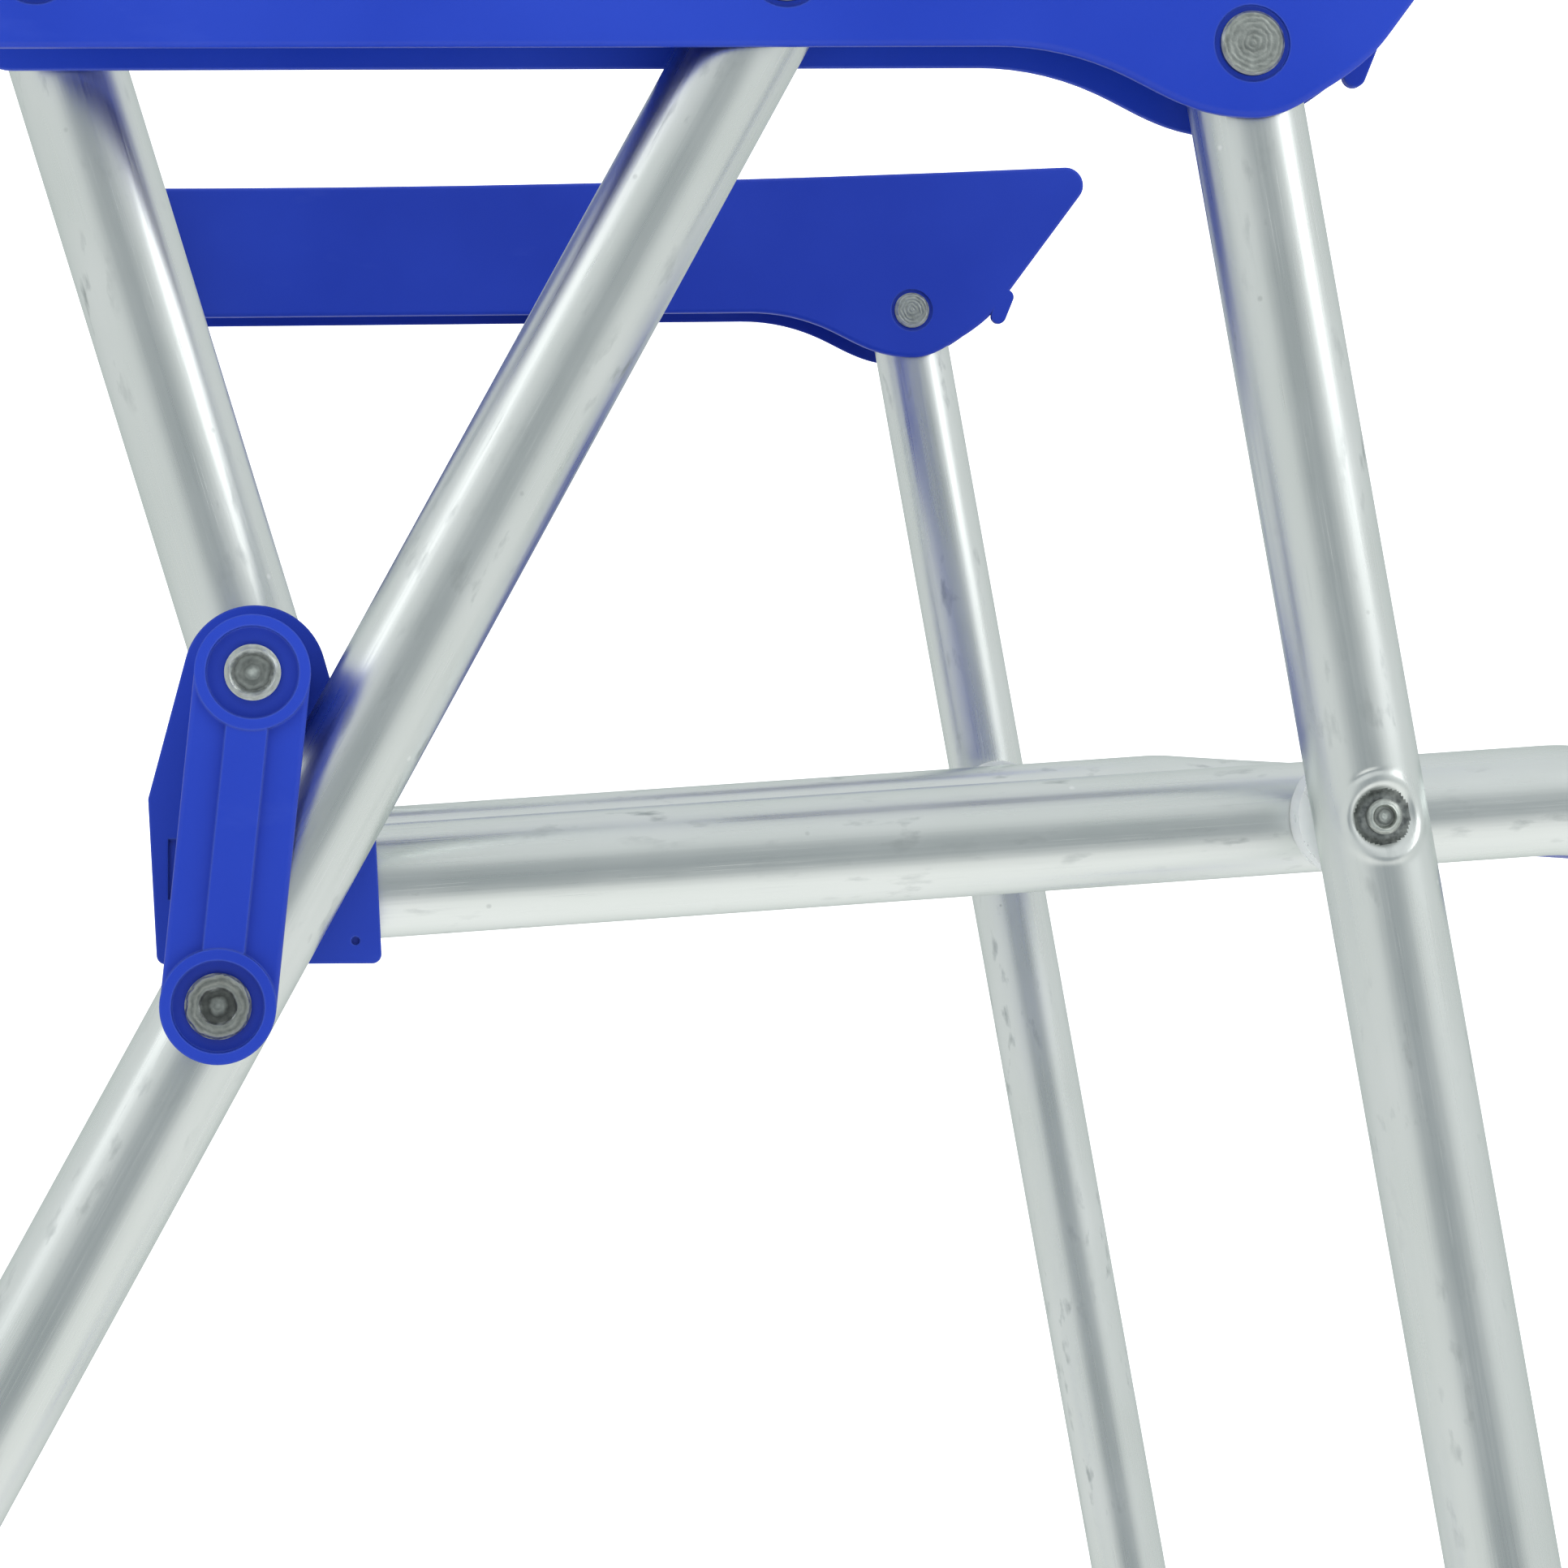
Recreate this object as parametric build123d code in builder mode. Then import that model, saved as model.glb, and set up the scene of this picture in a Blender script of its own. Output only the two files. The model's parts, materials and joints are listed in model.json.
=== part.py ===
from build123d import *
import math
import os

os.makedirs("parts", exist_ok=True)

# A folding armchair of bent aluminium tube with plastic armrests, brackets and links.
# Millimetres. X points to the front of the chair, Y to its left and Z up. The origin is
# on the floor under the middle of the chair. Pieces on both sides are drawn on the right
# side and mirrored, and "reach" is a distance from the chair's middle plane out to a side.

# Overall sizes
LEG_SPACING = 514.0          # between the centres of the left and right leg tubes
BACK_HEIGHT = 850.0          # floor to the top of the back tube
HINGE_HEIGHT = 445.2         # floor to the seat hinge
HINGE_X = -70.87             # seat hinge behind the middle of the chair
SEAT_FRONT = 105.0           # front bar ahead of the front leg's crossing, along the seat

# Tubes
TUBE_R = 12.5
TUBE_WALL = 1.2
BAR_R = 8.0                  # thin cross bars of the seat and the back
LEG_BEND_R = 60.0
SEAT_BEND_R = 50.0
SEAT_KNEE_RUN = 4.0          # straight tube between the seat's knee and its front bends
SEAT_DIP = 7.0               # front bar below the line of the seat's sides
TUBE_OVERRUN = 14.0          # tube left beyond a hinge hole
LAYER_GAP = 5.0              # from a leg tube in to the seat and back tubes

# Fits
PIN_FIT = 0.05               # radial play of a pin in its hole
SOCKET_FIT = 0.05            # radial play of a tube in a socket or foot
FACE_GAP = 0.3               # play between faces that turn on each other
SLOT_GAP = 0.3               # play between a tube and the cheeks beside it

# Pins and rivets
PIN_R = 3.5
HEAD_R = 6.9
HEAD_T = 1.9
TAIL_R = 5.85
TAIL_T = 1.6
CUP_RIM = 1.0                # rim left around the cup of a hollow head
CROSS_PIN_R = 2.6            # thin rivet where a front leg crosses the seat
CROSS_HEAD_R = 3.85
DIMPLE_R = 6.2               # dish pressed in the leg around the thin rivet
DIMPLE_DEPTH = 2.0
DIMPLE_TAPER = -25.0         # slope of the dish's side, in degrees
SPACER_RIM = 1.5             # spacer beyond the leg tube all round
SPACER_SADDLE = 4.0          # spacer's rim past the inner side of the leg

# Armrest
ARM_WALL = 2.5
ARM_TUBE_GAP = 0.5           # between a leg tube and a wall of the armrest
ARM_FRONT = 65.0             # sharp front corner ahead of the front hinge
ARM_BACK = 281.0             # top rear corner behind the front hinge
ARM_NOSE_H = 49.7            # front corner above the front hinge
ARM_TAIL_H = 36.6            # rear corner above the front hinge
ARM_LOBE = 15.7              # lobe below the front hinge
ARM_TAIL_LEAN = 11.0         # bottom rear corner ahead of the top one
ARM_TIP_R = 6.0
ARM_REAR_R = 8.0
ARM_CROWN_AT = -80.0         # middle of the crowned top edge, from the front hinge
ARM_CROWN_H = 42.2
ARM_TAIL_LOW = -6.0          # bottom rear corner below the front hinge
ARM_FLAT_END = (-55.0, -1.4)     # end of the straight lower edge, start of the lobe
ARM_LOBE_REAR = (-28.0, -6.8)    # point on the rear flank of the lobe
ARM_LOBE_FRONT = (13.5, -11.0)   # point on its front flank
ARM_SLOPE_LOW = (29.8, 2.2)      # low end of the straight slope up to the nose
HOLLOW_FRONT = 22.0              # front end of the channel's open mouth
HOLLOW_SLOPE = (27.8, 4.0)       # low end of the channel's front slope
HOOK_AT = (30.8, 1.6)            # tongue slot under the nose
HOOK_LENGTH = 12.0
HOOK_WIDTH = 5.0
HOOK_TURN = 68.0
ARM_EDGE_R = 1.2
RECESS_R = 8.25
RECESS_DEPTH = 1.0
TAIL_RECESS_R = 7.0

# Bracket at the seat hinge
BRACKET_RIM = 2.8            # bracket's round top beyond the back tube
BRACKET_FLOOR = 3.1          # plastic under the seat tube
BRACKET_WALL = 2.6
CORNER_R = 2.0
SLOT_DEPTH = 21.0            # slot floor below the seat hinge
SOCKET_BACK = 17.5           # rear end of the seat tube behind the seat hinge
BOSS_T = 12.0
BOSS_WALL = 3.0
SCREW_R = 2.0
SCREW_HEAD_R = 4.0
SCREW_HEAD_T = 2.2
SCREW_AHEAD = 12.0
SCREW_GRIP = 4.4             # screw thread above the bottom of the seat tube
SCREW_SLOT_W = 0.7
BRACKET_REAR = (-20.8, -26.6)    # rear shoulder, from the seat hinge
BRACKET_HEEL_X = -19.0           # corners at the bottom, behind and ahead of the hinge
BRACKET_TOE_X = 25.1
BRACKET_FRONT = (23.9, -35.3)    # front shoulder
WINDOW_AT = (-14.0, -41.5)       # shallow square recess beside the link
WINDOW_SIZE = (9.0, 13.0)
GATE_AT = (21.5, -57.0)          # small moulding mark
GATE_R = 0.9

# Link
LINK_R = 12.0
LINK_BASE_T = 6.5
LINK_RIM_T = 9.0
LINK_RIM_W = 2.4
LINK_RIB_W = 8.6
LINK_RIB_T = 8.6
LINK_BOWL_T = 5.5            # plastic left under a rivet head
LINK_LEG_GAP = 1.0
HUB_R = 11.0

# Feet and slings
FOOT_DROP = 3.0              # foot sole below the tube
FOOT_LENGTH = 36.0
FOOT_SOLE_W = 24.0
FOOT_MARGIN = 14.0           # from a foot to the bend of its bar
SLING_MARGIN = 4.0           # from a sling to the bends beside it
SLING_T = 1.5
SLING_GAP = 0.3
LOW_BAR_RISE = 55.0          # low back bar above the seat hinge, along the back


def beside_hinge(ahead, above):
    """A point of the side view, given from the seat hinge."""
    return HINGE_X + ahead, HINGE_HEIGHT + above


# Hinge centres in the side view, as (x, z)
SEAT_HINGE = beside_hinge(0.0, 0.0)
ARM_BACK_HINGE = beside_hinge(-44.8, 146.4)
ARM_MID_HINGE = beside_hinge(111.7, 149.0)
ARM_FRONT_HINGE = beside_hinge(211.9, 135.1)
LINK_HINGE = beside_hinge(-7.1, -69.1)
CROSS_HINGE = beside_hinge(241.7, -30.2)
SEAT_SLOPE = math.radians(3.82)

# Reaches of the layers, from the outside in
LEG_REACH = LEG_SPACING / 2
LEG_OUT = LEG_REACH + TUBE_R
LEG_IN = LEG_REACH - TUBE_R
SEAT_REACH = LEG_REACH - 2 * TUBE_R - LAYER_GAP
SEAT_OUT = SEAT_REACH + TUBE_R
SEAT_IN = SEAT_REACH - TUBE_R
ARM_OUT = LEG_OUT + ARM_TUBE_GAP + ARM_WALL
ARM_IN = LEG_IN - ARM_TUBE_GAP - ARM_WALL
CHEEK_SLOT = TUBE_R + SLOT_GAP
BRACKET_OUT = SEAT_REACH + CHEEK_SLOT + BRACKET_WALL
BRACKET_IN = SEAT_REACH - CHEEK_SLOT - BRACKET_WALL
LINK_IN = LEG_OUT + LINK_LEG_GAP
LINK_FLOOR = LINK_IN + LINK_BOWL_T
FOOT_REACH = LEG_REACH - LEG_BEND_R - FOOT_MARGIN - FOOT_LENGTH / 2
SLING_WIDTH = 2 * (SEAT_REACH - SEAT_BEND_R - SLING_MARGIN)
PIN_HOLE_R = PIN_R + PIN_FIT
CROSS_HOLE_R = CROSS_PIN_R + PIN_FIT
FAR = 2 * LEG_SPACING        # longer than the chair is wide, for cuts right through


def beyond(start, end, extra):
    """The point of the side view past end, on the line from start."""
    length = math.dist(start, end)
    share = 1 + extra / length
    return start[0] + (end[0] - start[0]) * share, start[1] + (end[1] - start[1]) * share


def at_height(start, end, height):
    """The point at a height on the line through start and end."""
    share = (height - start[1]) / (end[1] - start[1])
    return start[0] + (end[0] - start[0]) * share, height


def along_seat(point, distance):
    """A point further forward by a distance, in the direction of the seat."""
    return point[0] + distance * math.cos(SEAT_SLOPE), point[1] + distance * math.sin(SEAT_SLOPE)


# Tube centre lines in the side view
FLOOR_BAR_Z = FOOT_DROP + TUBE_R
FRONT_LEG_TOP = beyond(CROSS_HINGE, ARM_FRONT_HINGE, TUBE_OVERRUN)
FRONT_LEG_FOOT = at_height(ARM_FRONT_HINGE, CROSS_HINGE, FLOOR_BAR_Z)
REAR_LEG_TOP = beyond(LINK_HINGE, ARM_MID_HINGE, TUBE_OVERRUN)
REAR_LEG_FOOT = at_height(ARM_MID_HINGE, LINK_HINGE, FLOOR_BAR_Z)
BACK_LOW_END = beyond(ARM_BACK_HINGE, SEAT_HINGE, TUBE_OVERRUN)
BACK_TOP = at_height(SEAT_HINGE, ARM_BACK_HINGE, BACK_HEIGHT - TUBE_R)
LOW_BAR = beyond(ARM_BACK_HINGE, SEAT_HINGE, -LOW_BAR_RISE)
SEAT_BAR_BACK = along_seat(CROSS_HINGE, (HINGE_X - CROSS_HINGE[0]) / math.cos(SEAT_SLOPE))
SEAT_END = along_seat(SEAT_BAR_BACK, -SOCKET_BACK)
BRACKET_R = TUBE_R + BRACKET_RIM
BRACKET_DROP = HINGE_HEIGHT - SEAT_BAR_BACK[1] + TUBE_R + BRACKET_FLOOR
SEAT_KNEE = along_seat(CROSS_HINGE, SEAT_FRONT - SEAT_BEND_R - SEAT_KNEE_RUN)
SEAT_LINE_END = along_seat(CROSS_HINGE, SEAT_FRONT)
SEAT_FRONT_BAR = (SEAT_LINE_END[0], SEAT_LINE_END[1] - SEAT_DIP)


def save(piece, name):
    """Label a finished piece and write it out."""
    piece.part.label = name
    export_step(piece.part, f"parts/{name}.step")


def save_pair(piece, name):
    """Write a right-hand piece and its mirror image on the left."""
    save(piece, f"{name}_right")
    with BuildPart() as left_piece:
        mirror(piece.part, about=Plane.XZ)
    save(left_piece, f"{name}_left")


def side_plane(reach):
    """The side view's plane at a reach on the right, facing outwards."""
    return Plane.XZ.offset(reach)


def cut_cross_holes(centre, radius):
    """Cut a hole right across the chair, on a hinge line."""
    with BuildSketch(Plane.XZ) as hole:
        with Locations(centre):
            Circle(radius)
    extrude(hole.sketch, amount=FAR, both=True, mode=Mode.SUBTRACT)


def sweep_u_tube(arm_points, reach, bend_r):
    """Sweep a tube along its right arm's points, across the chair and back along its left."""
    right_arm = [(x, -reach, z) for x, z in arm_points]
    left_arm = [(x, reach, z) for x, z in reversed(arm_points)]
    with BuildLine() as path:
        FilletPolyline(*right_arm, *left_arm, radius=bend_r)
    with BuildSketch(Plane(origin=path.line @ 0, z_dir=path.line % 0)) as section:
        Circle(TUBE_R)
        Circle(TUBE_R - TUBE_WALL, mode=Mode.SUBTRACT)
    sweep(section.sketch, path=path.line)


def turn_on_hinge(centre, profile):
    """Turn a right-hand solid about a hinge line from (radius, reach) points."""
    axis_point = (centre[0], 0, centre[1])
    with BuildSketch(Plane(origin=axis_point, x_dir=(1, 0, 0), z_dir=(0, 0, 1))) as section:
        with BuildLine():
            Polyline(*[(radius, -reach) for radius, reach in profile], close=True)
        make_face()
    revolve(section.sketch, axis=Axis(axis_point, (0, 1, 0)))


# --- Back -------------------------------------------------------------------------------

def make_back_tube():
    """Bent U whose two ends sit in the brackets; the armrests hang on it."""
    with BuildPart() as back_tube:
        sweep_u_tube([BACK_LOW_END, BACK_TOP], SEAT_REACH, SEAT_BEND_R)
        cut_cross_holes(SEAT_HINGE, PIN_HOLE_R)
        cut_cross_holes(ARM_BACK_HINGE, PIN_HOLE_R)
    return back_tube


def make_back_low_bar():
    """Thin cross bar, coped to fit the insides of the two back tubes."""
    with BuildPart() as back_low_bar:
        with BuildSketch(side_plane(0)):
            with Locations(LOW_BAR):
                Circle(BAR_R)
                Circle(BAR_R - TUBE_WALL, mode=Mode.SUBTRACT)
        extrude(amount=SEAT_REACH, both=True)
        for side in (-1, 1):
            tube_axis = Plane(
                origin=(BACK_LOW_END[0], side * SEAT_REACH, BACK_LOW_END[1]),
                z_dir=(BACK_TOP[0] - BACK_LOW_END[0], 0, BACK_TOP[1] - BACK_LOW_END[1]),
            )
            with BuildSketch(tube_axis):
                Circle(TUBE_R + SOCKET_FIT)
            extrude(amount=math.dist(BACK_LOW_END, BACK_TOP), mode=Mode.SUBTRACT)
    return back_low_bar


def make_armrest_back_rivet():
    """Rivet through an armrest, a washer and the back tube."""
    floor = ARM_OUT - RECESS_DEPTH + FACE_GAP
    tail = SEAT_IN
    with BuildPart() as rivet:
        turn_on_hinge(ARM_BACK_HINGE, [
            (0, floor + HEAD_T),
            (HEAD_R - CUP_RIM, floor + HEAD_T),
            (HEAD_R, floor + HEAD_T - CUP_RIM),
            (HEAD_R, floor),
            (PIN_R, floor),
            (PIN_R, tail),
            (TAIL_R, tail),
            (TAIL_R - CUP_RIM, tail - TAIL_T),
            (0, tail - TAIL_T),
        ])
    return rivet


def make_armrest_washer():
    """Plastic washer between an armrest and the back tube."""
    with BuildPart() as washer:
        with BuildSketch(side_plane(SEAT_OUT + PIN_FIT)):
            with Locations(ARM_BACK_HINGE):
                Circle(RECESS_R)
                Circle(PIN_HOLE_R, mode=Mode.SUBTRACT)
        extrude(amount=ARM_IN - FACE_GAP - SEAT_OUT - PIN_FIT)
    return washer


def make_seat_hinge_rivet():
    """Hollow-headed rivet through a link's hub, a bracket and the back tube."""
    floor = LINK_FLOOR + FACE_GAP
    rim = floor + HEAD_T
    tail = BRACKET_IN - FACE_GAP
    with BuildPart() as rivet:
        turn_on_hinge(SEAT_HINGE, [
            (0, rim - HEAD_T / 2),
            (TAIL_R - 2 * CUP_RIM, rim - HEAD_T / 2),
            (TAIL_R - CUP_RIM, rim),
            (TAIL_R, rim - CUP_RIM / 2),
            (TAIL_R, floor),
            (PIN_R, floor),
            (PIN_R, tail),
            (TAIL_R, tail),
            (TAIL_R - CUP_RIM, tail - TAIL_T),
            (0, tail - TAIL_T),
        ])
    return rivet


# --- Seat -------------------------------------------------------------------------------

def make_seat_tube():
    """Bent U that lies in the brackets' sockets; its front dips from a knee in each arm."""
    with BuildPart() as seat_tube:
        sweep_u_tube([SEAT_END, SEAT_KNEE, SEAT_FRONT_BAR], SEAT_REACH, SEAT_BEND_R)
        cut_cross_holes(CROSS_HINGE, CROSS_HOLE_R)
        with BuildSketch(Plane.XY):
            with Locations((HINGE_X + SCREW_AHEAD, SEAT_REACH), (HINGE_X + SCREW_AHEAD, -SEAT_REACH)):
                Circle(SCREW_R)
        extrude(amount=SEAT_BAR_BACK[1], mode=Mode.SUBTRACT)
    return seat_tube


def draw_bracket_outline():
    """Round top about the hinge over a block with a slanting front and back."""
    Circle(BRACKET_R)
    corners = [
        BRACKET_REAR,
        (BRACKET_HEEL_X, CORNER_R - BRACKET_DROP),
        (BRACKET_TOE_X, CORNER_R - BRACKET_DROP),
        BRACKET_FRONT,
    ]
    with Locations(*corners):
        Circle(CORNER_R)
    make_hull()


def make_seat_bracket():
    """Moulded bracket: two cheeks for the back tube over a socket for the seat tube."""
    width = BRACKET_OUT - BRACKET_IN
    bracket_plane = Plane(
        origin=(SEAT_HINGE[0], -BRACKET_IN, SEAT_HINGE[1]), x_dir=(1, 0, 0), z_dir=(0, -1, 0)
    )
    boss_drop = SEAT_HINGE[1] - SEAT_BAR_BACK[1]
    with BuildPart() as seat_bracket:
        with BuildSketch(bracket_plane):
            draw_bracket_outline()
        extrude(amount=width)
        with BuildSketch(bracket_plane.offset(-BOSS_T)):
            with Locations((0, -boss_drop)):
                Circle(BAR_R + BOSS_WALL)
        extrude(amount=BOSS_T)
        slot_top = 2 * BRACKET_R
        with BuildSketch(bracket_plane.offset(BRACKET_WALL)):
            with Locations((0, (slot_top - SLOT_DEPTH) / 2)):
                Rectangle(4 * BRACKET_R, slot_top + SLOT_DEPTH)
        extrude(amount=2 * CHEEK_SLOT, mode=Mode.SUBTRACT)
        socket_axis = Plane(
            origin=(SEAT_END[0], -SEAT_REACH, SEAT_END[1]),
            z_dir=(math.cos(SEAT_SLOPE), 0, math.sin(SEAT_SLOPE)),
        )
        with BuildSketch(socket_axis):
            Circle(TUBE_R + SOCKET_FIT)
        extrude(amount=4 * BRACKET_R, mode=Mode.SUBTRACT)
        with BuildSketch(bracket_plane.offset(-BOSS_T)):
            with Locations((0, -boss_drop)):
                Circle(BAR_R + SOCKET_FIT)
        extrude(amount=BOSS_T, mode=Mode.SUBTRACT)
        cut_cross_holes(SEAT_HINGE, PIN_HOLE_R)
        with BuildSketch(bracket_plane.offset(width)):
            with Locations(WINDOW_AT):
                Rectangle(*WINDOW_SIZE)
            with Locations(GATE_AT):
                Circle(GATE_R)
        extrude(amount=-BRACKET_WALL / 2, mode=Mode.SUBTRACT)
        with BuildSketch(Plane.XY):
            with Locations((HINGE_X + SCREW_AHEAD, -SEAT_REACH)):
                Circle(SCREW_R)
        extrude(amount=SEAT_BAR_BACK[1], mode=Mode.SUBTRACT)
    return seat_bracket


def make_bracket_screw():
    """Screw up through a bracket's floor into the seat tube."""
    head_z = SEAT_HINGE[1] - BRACKET_DROP
    shank_top = SEAT_BAR_BACK[1] - TUBE_R + SCREW_GRIP
    with BuildPart() as screw:
        with BuildSketch(Plane.XY.offset(head_z - SCREW_HEAD_T)):
            with Locations((HINGE_X + SCREW_AHEAD, -SEAT_REACH)):
                Circle(SCREW_HEAD_R)
        extrude(amount=SCREW_HEAD_T)
        chamfer(screw.faces().sort_by(Axis.Z)[0].edges(), length=SCREW_HEAD_T / 3)
        with BuildSketch(Plane.XY.offset(head_z)):
            with Locations((HINGE_X + SCREW_AHEAD, -SEAT_REACH)):
                Circle(SCREW_R - PIN_FIT)
        extrude(amount=shank_top - head_z)
        with BuildSketch(Plane.XY.offset(head_z - SCREW_HEAD_T)):
            with Locations((HINGE_X + SCREW_AHEAD, -SEAT_REACH)):
                Rectangle(SCREW_HEAD_R, SCREW_SLOT_W)
                Rectangle(SCREW_SLOT_W, SCREW_HEAD_R)
        extrude(amount=SCREW_HEAD_T / 2, mode=Mode.SUBTRACT)
    return screw


def make_seat_rear_bar():
    """Thin cross bar between the two brackets' bosses."""
    with BuildPart() as seat_rear_bar:
        with BuildSketch(side_plane(0)):
            with Locations(SEAT_BAR_BACK):
                Circle(BAR_R)
                Circle(BAR_R - TUBE_WALL, mode=Mode.SUBTRACT)
        extrude(amount=BRACKET_IN, both=True)
    return seat_rear_bar


def make_cross_rivet_inner():
    """Inner half of the thin rivet, fixed in the seat tube."""
    with BuildPart() as rivet:
        turn_on_hinge(CROSS_HINGE, [
            (0, SEAT_OUT - FACE_GAP),
            (CROSS_PIN_R, SEAT_OUT - FACE_GAP),
            (CROSS_PIN_R, SEAT_IN),
            (CROSS_HEAD_R + CUP_RIM, SEAT_IN),
            (CROSS_HEAD_R, SEAT_IN - TAIL_T),
            (0, SEAT_IN - TAIL_T),
        ])
    return rivet


# --- Slings -----------------------------------------------------------------------------

def make_sling(first, first_r, second, second_r):
    """Flat sheet over two cross bars, with a sleeve sewn round each bar."""
    span = math.dist(first, second)
    run = ((second[0] - first[0]) / span, (second[1] - first[1]) / span)
    face = (-run[1], run[0])
    lean = (first_r - second_r) / span
    level = math.sqrt(1 - lean ** 2)
    out = (face[0] * level + run[0] * lean, face[1] * level + run[1] * lean)

    def lifted(point, distance):
        return point[0] + out[0] * distance, point[1] + out[1] * distance

    first_sleeve = first_r + SLING_GAP
    second_sleeve = second_r + SLING_GAP
    with BuildPart() as sling:
        with BuildSketch(Plane.XZ):
            with Locations(first):
                Circle(first_sleeve + SLING_T)
            with Locations(second):
                Circle(second_sleeve + SLING_T)
            with BuildLine():
                Polyline(
                    lifted(first, first_sleeve),
                    lifted(second, second_sleeve),
                    lifted(second, second_sleeve + SLING_T),
                    lifted(first, first_sleeve + SLING_T),
                    close=True,
                )
            make_face()
            with Locations(first):
                Circle(first_sleeve, mode=Mode.SUBTRACT)
            with Locations(second):
                Circle(second_sleeve, mode=Mode.SUBTRACT)
        extrude(amount=SLING_WIDTH / 2, both=True)
    return sling


# --- Armrests ---------------------------------------------------------------------------

def draw_armrest_outline():
    """Side view of an armrest about its front hinge: straight below, a lobe at the hinge."""
    lobe_low = (0.0, -ARM_LOBE)
    nose = (ARM_FRONT, ARM_NOSE_H)
    tail = (-ARM_BACK, ARM_TAIL_H)
    tail_low = (ARM_TAIL_LEAN - ARM_BACK, ARM_TAIL_LOW)
    flat_run = (ARM_FLAT_END[0] - tail_low[0], ARM_FLAT_END[1] - tail_low[1])
    front_run = (nose[0] - ARM_SLOPE_LOW[0], nose[1] - ARM_SLOPE_LOW[1])
    with BuildLine() as outline:
        Line(tail_low, ARM_FLAT_END)
        Spline(ARM_FLAT_END, ARM_LOBE_REAR, lobe_low, tangents=[flat_run, (1, 0)])
        Spline(lobe_low, ARM_LOBE_FRONT, ARM_SLOPE_LOW, tangents=[(1, 0), front_run])
        Line(ARM_SLOPE_LOW, nose)
        ThreePointArc(nose, (ARM_CROWN_AT, ARM_CROWN_H), tail)
        Line(tail, tail_low)
    make_face(outline.edges())


def draw_armrest_hollow():
    """Side view of the channel inside an armrest, running out past its lower edge."""
    mouth_z = -2 * ARM_LOBE
    rear_low = (ARM_TAIL_LEAN - ARM_BACK + ARM_WALL, mouth_z)
    nose = (ARM_FRONT - 2 * ARM_WALL, ARM_NOSE_H - 1.1 * ARM_WALL)
    tail = (ARM_WALL - ARM_BACK, ARM_TAIL_H - ARM_WALL)
    with BuildLine() as outline:
        Polyline(rear_low, (HOLLOW_FRONT, mouth_z), HOLLOW_SLOPE, nose)
        ThreePointArc(nose, (ARM_CROWN_AT, ARM_CROWN_H - ARM_WALL), tail)
        Line(tail, rear_low)
    make_face(outline.edges())


def make_armrest():
    """Moulded channel, open below, that a front and a rear leg hang in."""
    arm_plane = Plane(
        origin=(ARM_FRONT_HINGE[0], -ARM_IN, ARM_FRONT_HINGE[1]), x_dir=(1, 0, 0), z_dir=(0, -1, 0)
    )
    width = ARM_OUT - ARM_IN
    with BuildPart() as armrest:
        with BuildSketch(arm_plane) as outline:
            draw_armrest_outline()
            fillet(outline.vertices().sort_by(Axis.X)[-1], radius=ARM_TIP_R)
            fillet(outline.vertices().sort_by(Axis.X)[:2], radius=ARM_REAR_R)
        extrude(amount=width)
        rims = armrest.faces().filter_by(Axis.Y)
        fillet(rims.edges(), radius=ARM_EDGE_R)
        with BuildSketch(arm_plane.offset(ARM_WALL)):
            draw_armrest_hollow()
        extrude(amount=width - 2 * ARM_WALL, mode=Mode.SUBTRACT)
        with BuildSketch(arm_plane):
            with Locations(HOOK_AT):
                SlotOverall(HOOK_LENGTH, HOOK_WIDTH, rotation=HOOK_TURN)
        extrude(amount=ARM_WALL)
        for hinge in (ARM_FRONT_HINGE, ARM_MID_HINGE, ARM_BACK_HINGE):
            cut_cross_holes(hinge, PIN_HOLE_R)
            with BuildSketch(side_plane(ARM_OUT)):
                with Locations(hinge):
                    Circle(RECESS_R)
            extrude(amount=-RECESS_DEPTH, mode=Mode.SUBTRACT)
        for hinge in (ARM_FRONT_HINGE, ARM_MID_HINGE):
            with BuildSketch(side_plane(ARM_IN)):
                with Locations(hinge):
                    Circle(TAIL_RECESS_R)
            extrude(amount=RECESS_DEPTH, mode=Mode.SUBTRACT)
    return armrest


def make_leg_rivet(hinge):
    """Rivet across an armrest's channel that a leg hangs on."""
    floor = ARM_OUT - RECESS_DEPTH
    tail = ARM_IN + RECESS_DEPTH
    with BuildPart() as rivet:
        turn_on_hinge(hinge, [
            (0, floor + HEAD_T),
            (HEAD_R - CUP_RIM / 2, floor + HEAD_T),
            (HEAD_R, floor + HEAD_T - CUP_RIM / 2),
            (HEAD_R, floor),
            (PIN_R, floor),
            (PIN_R, tail),
            (TAIL_R, tail),
            (TAIL_R, tail - TAIL_T / 2),
            (TAIL_R - CUP_RIM, tail - TAIL_T),
            (0, tail - TAIL_T),
        ])
    return rivet


# --- Legs -------------------------------------------------------------------------------

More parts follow.
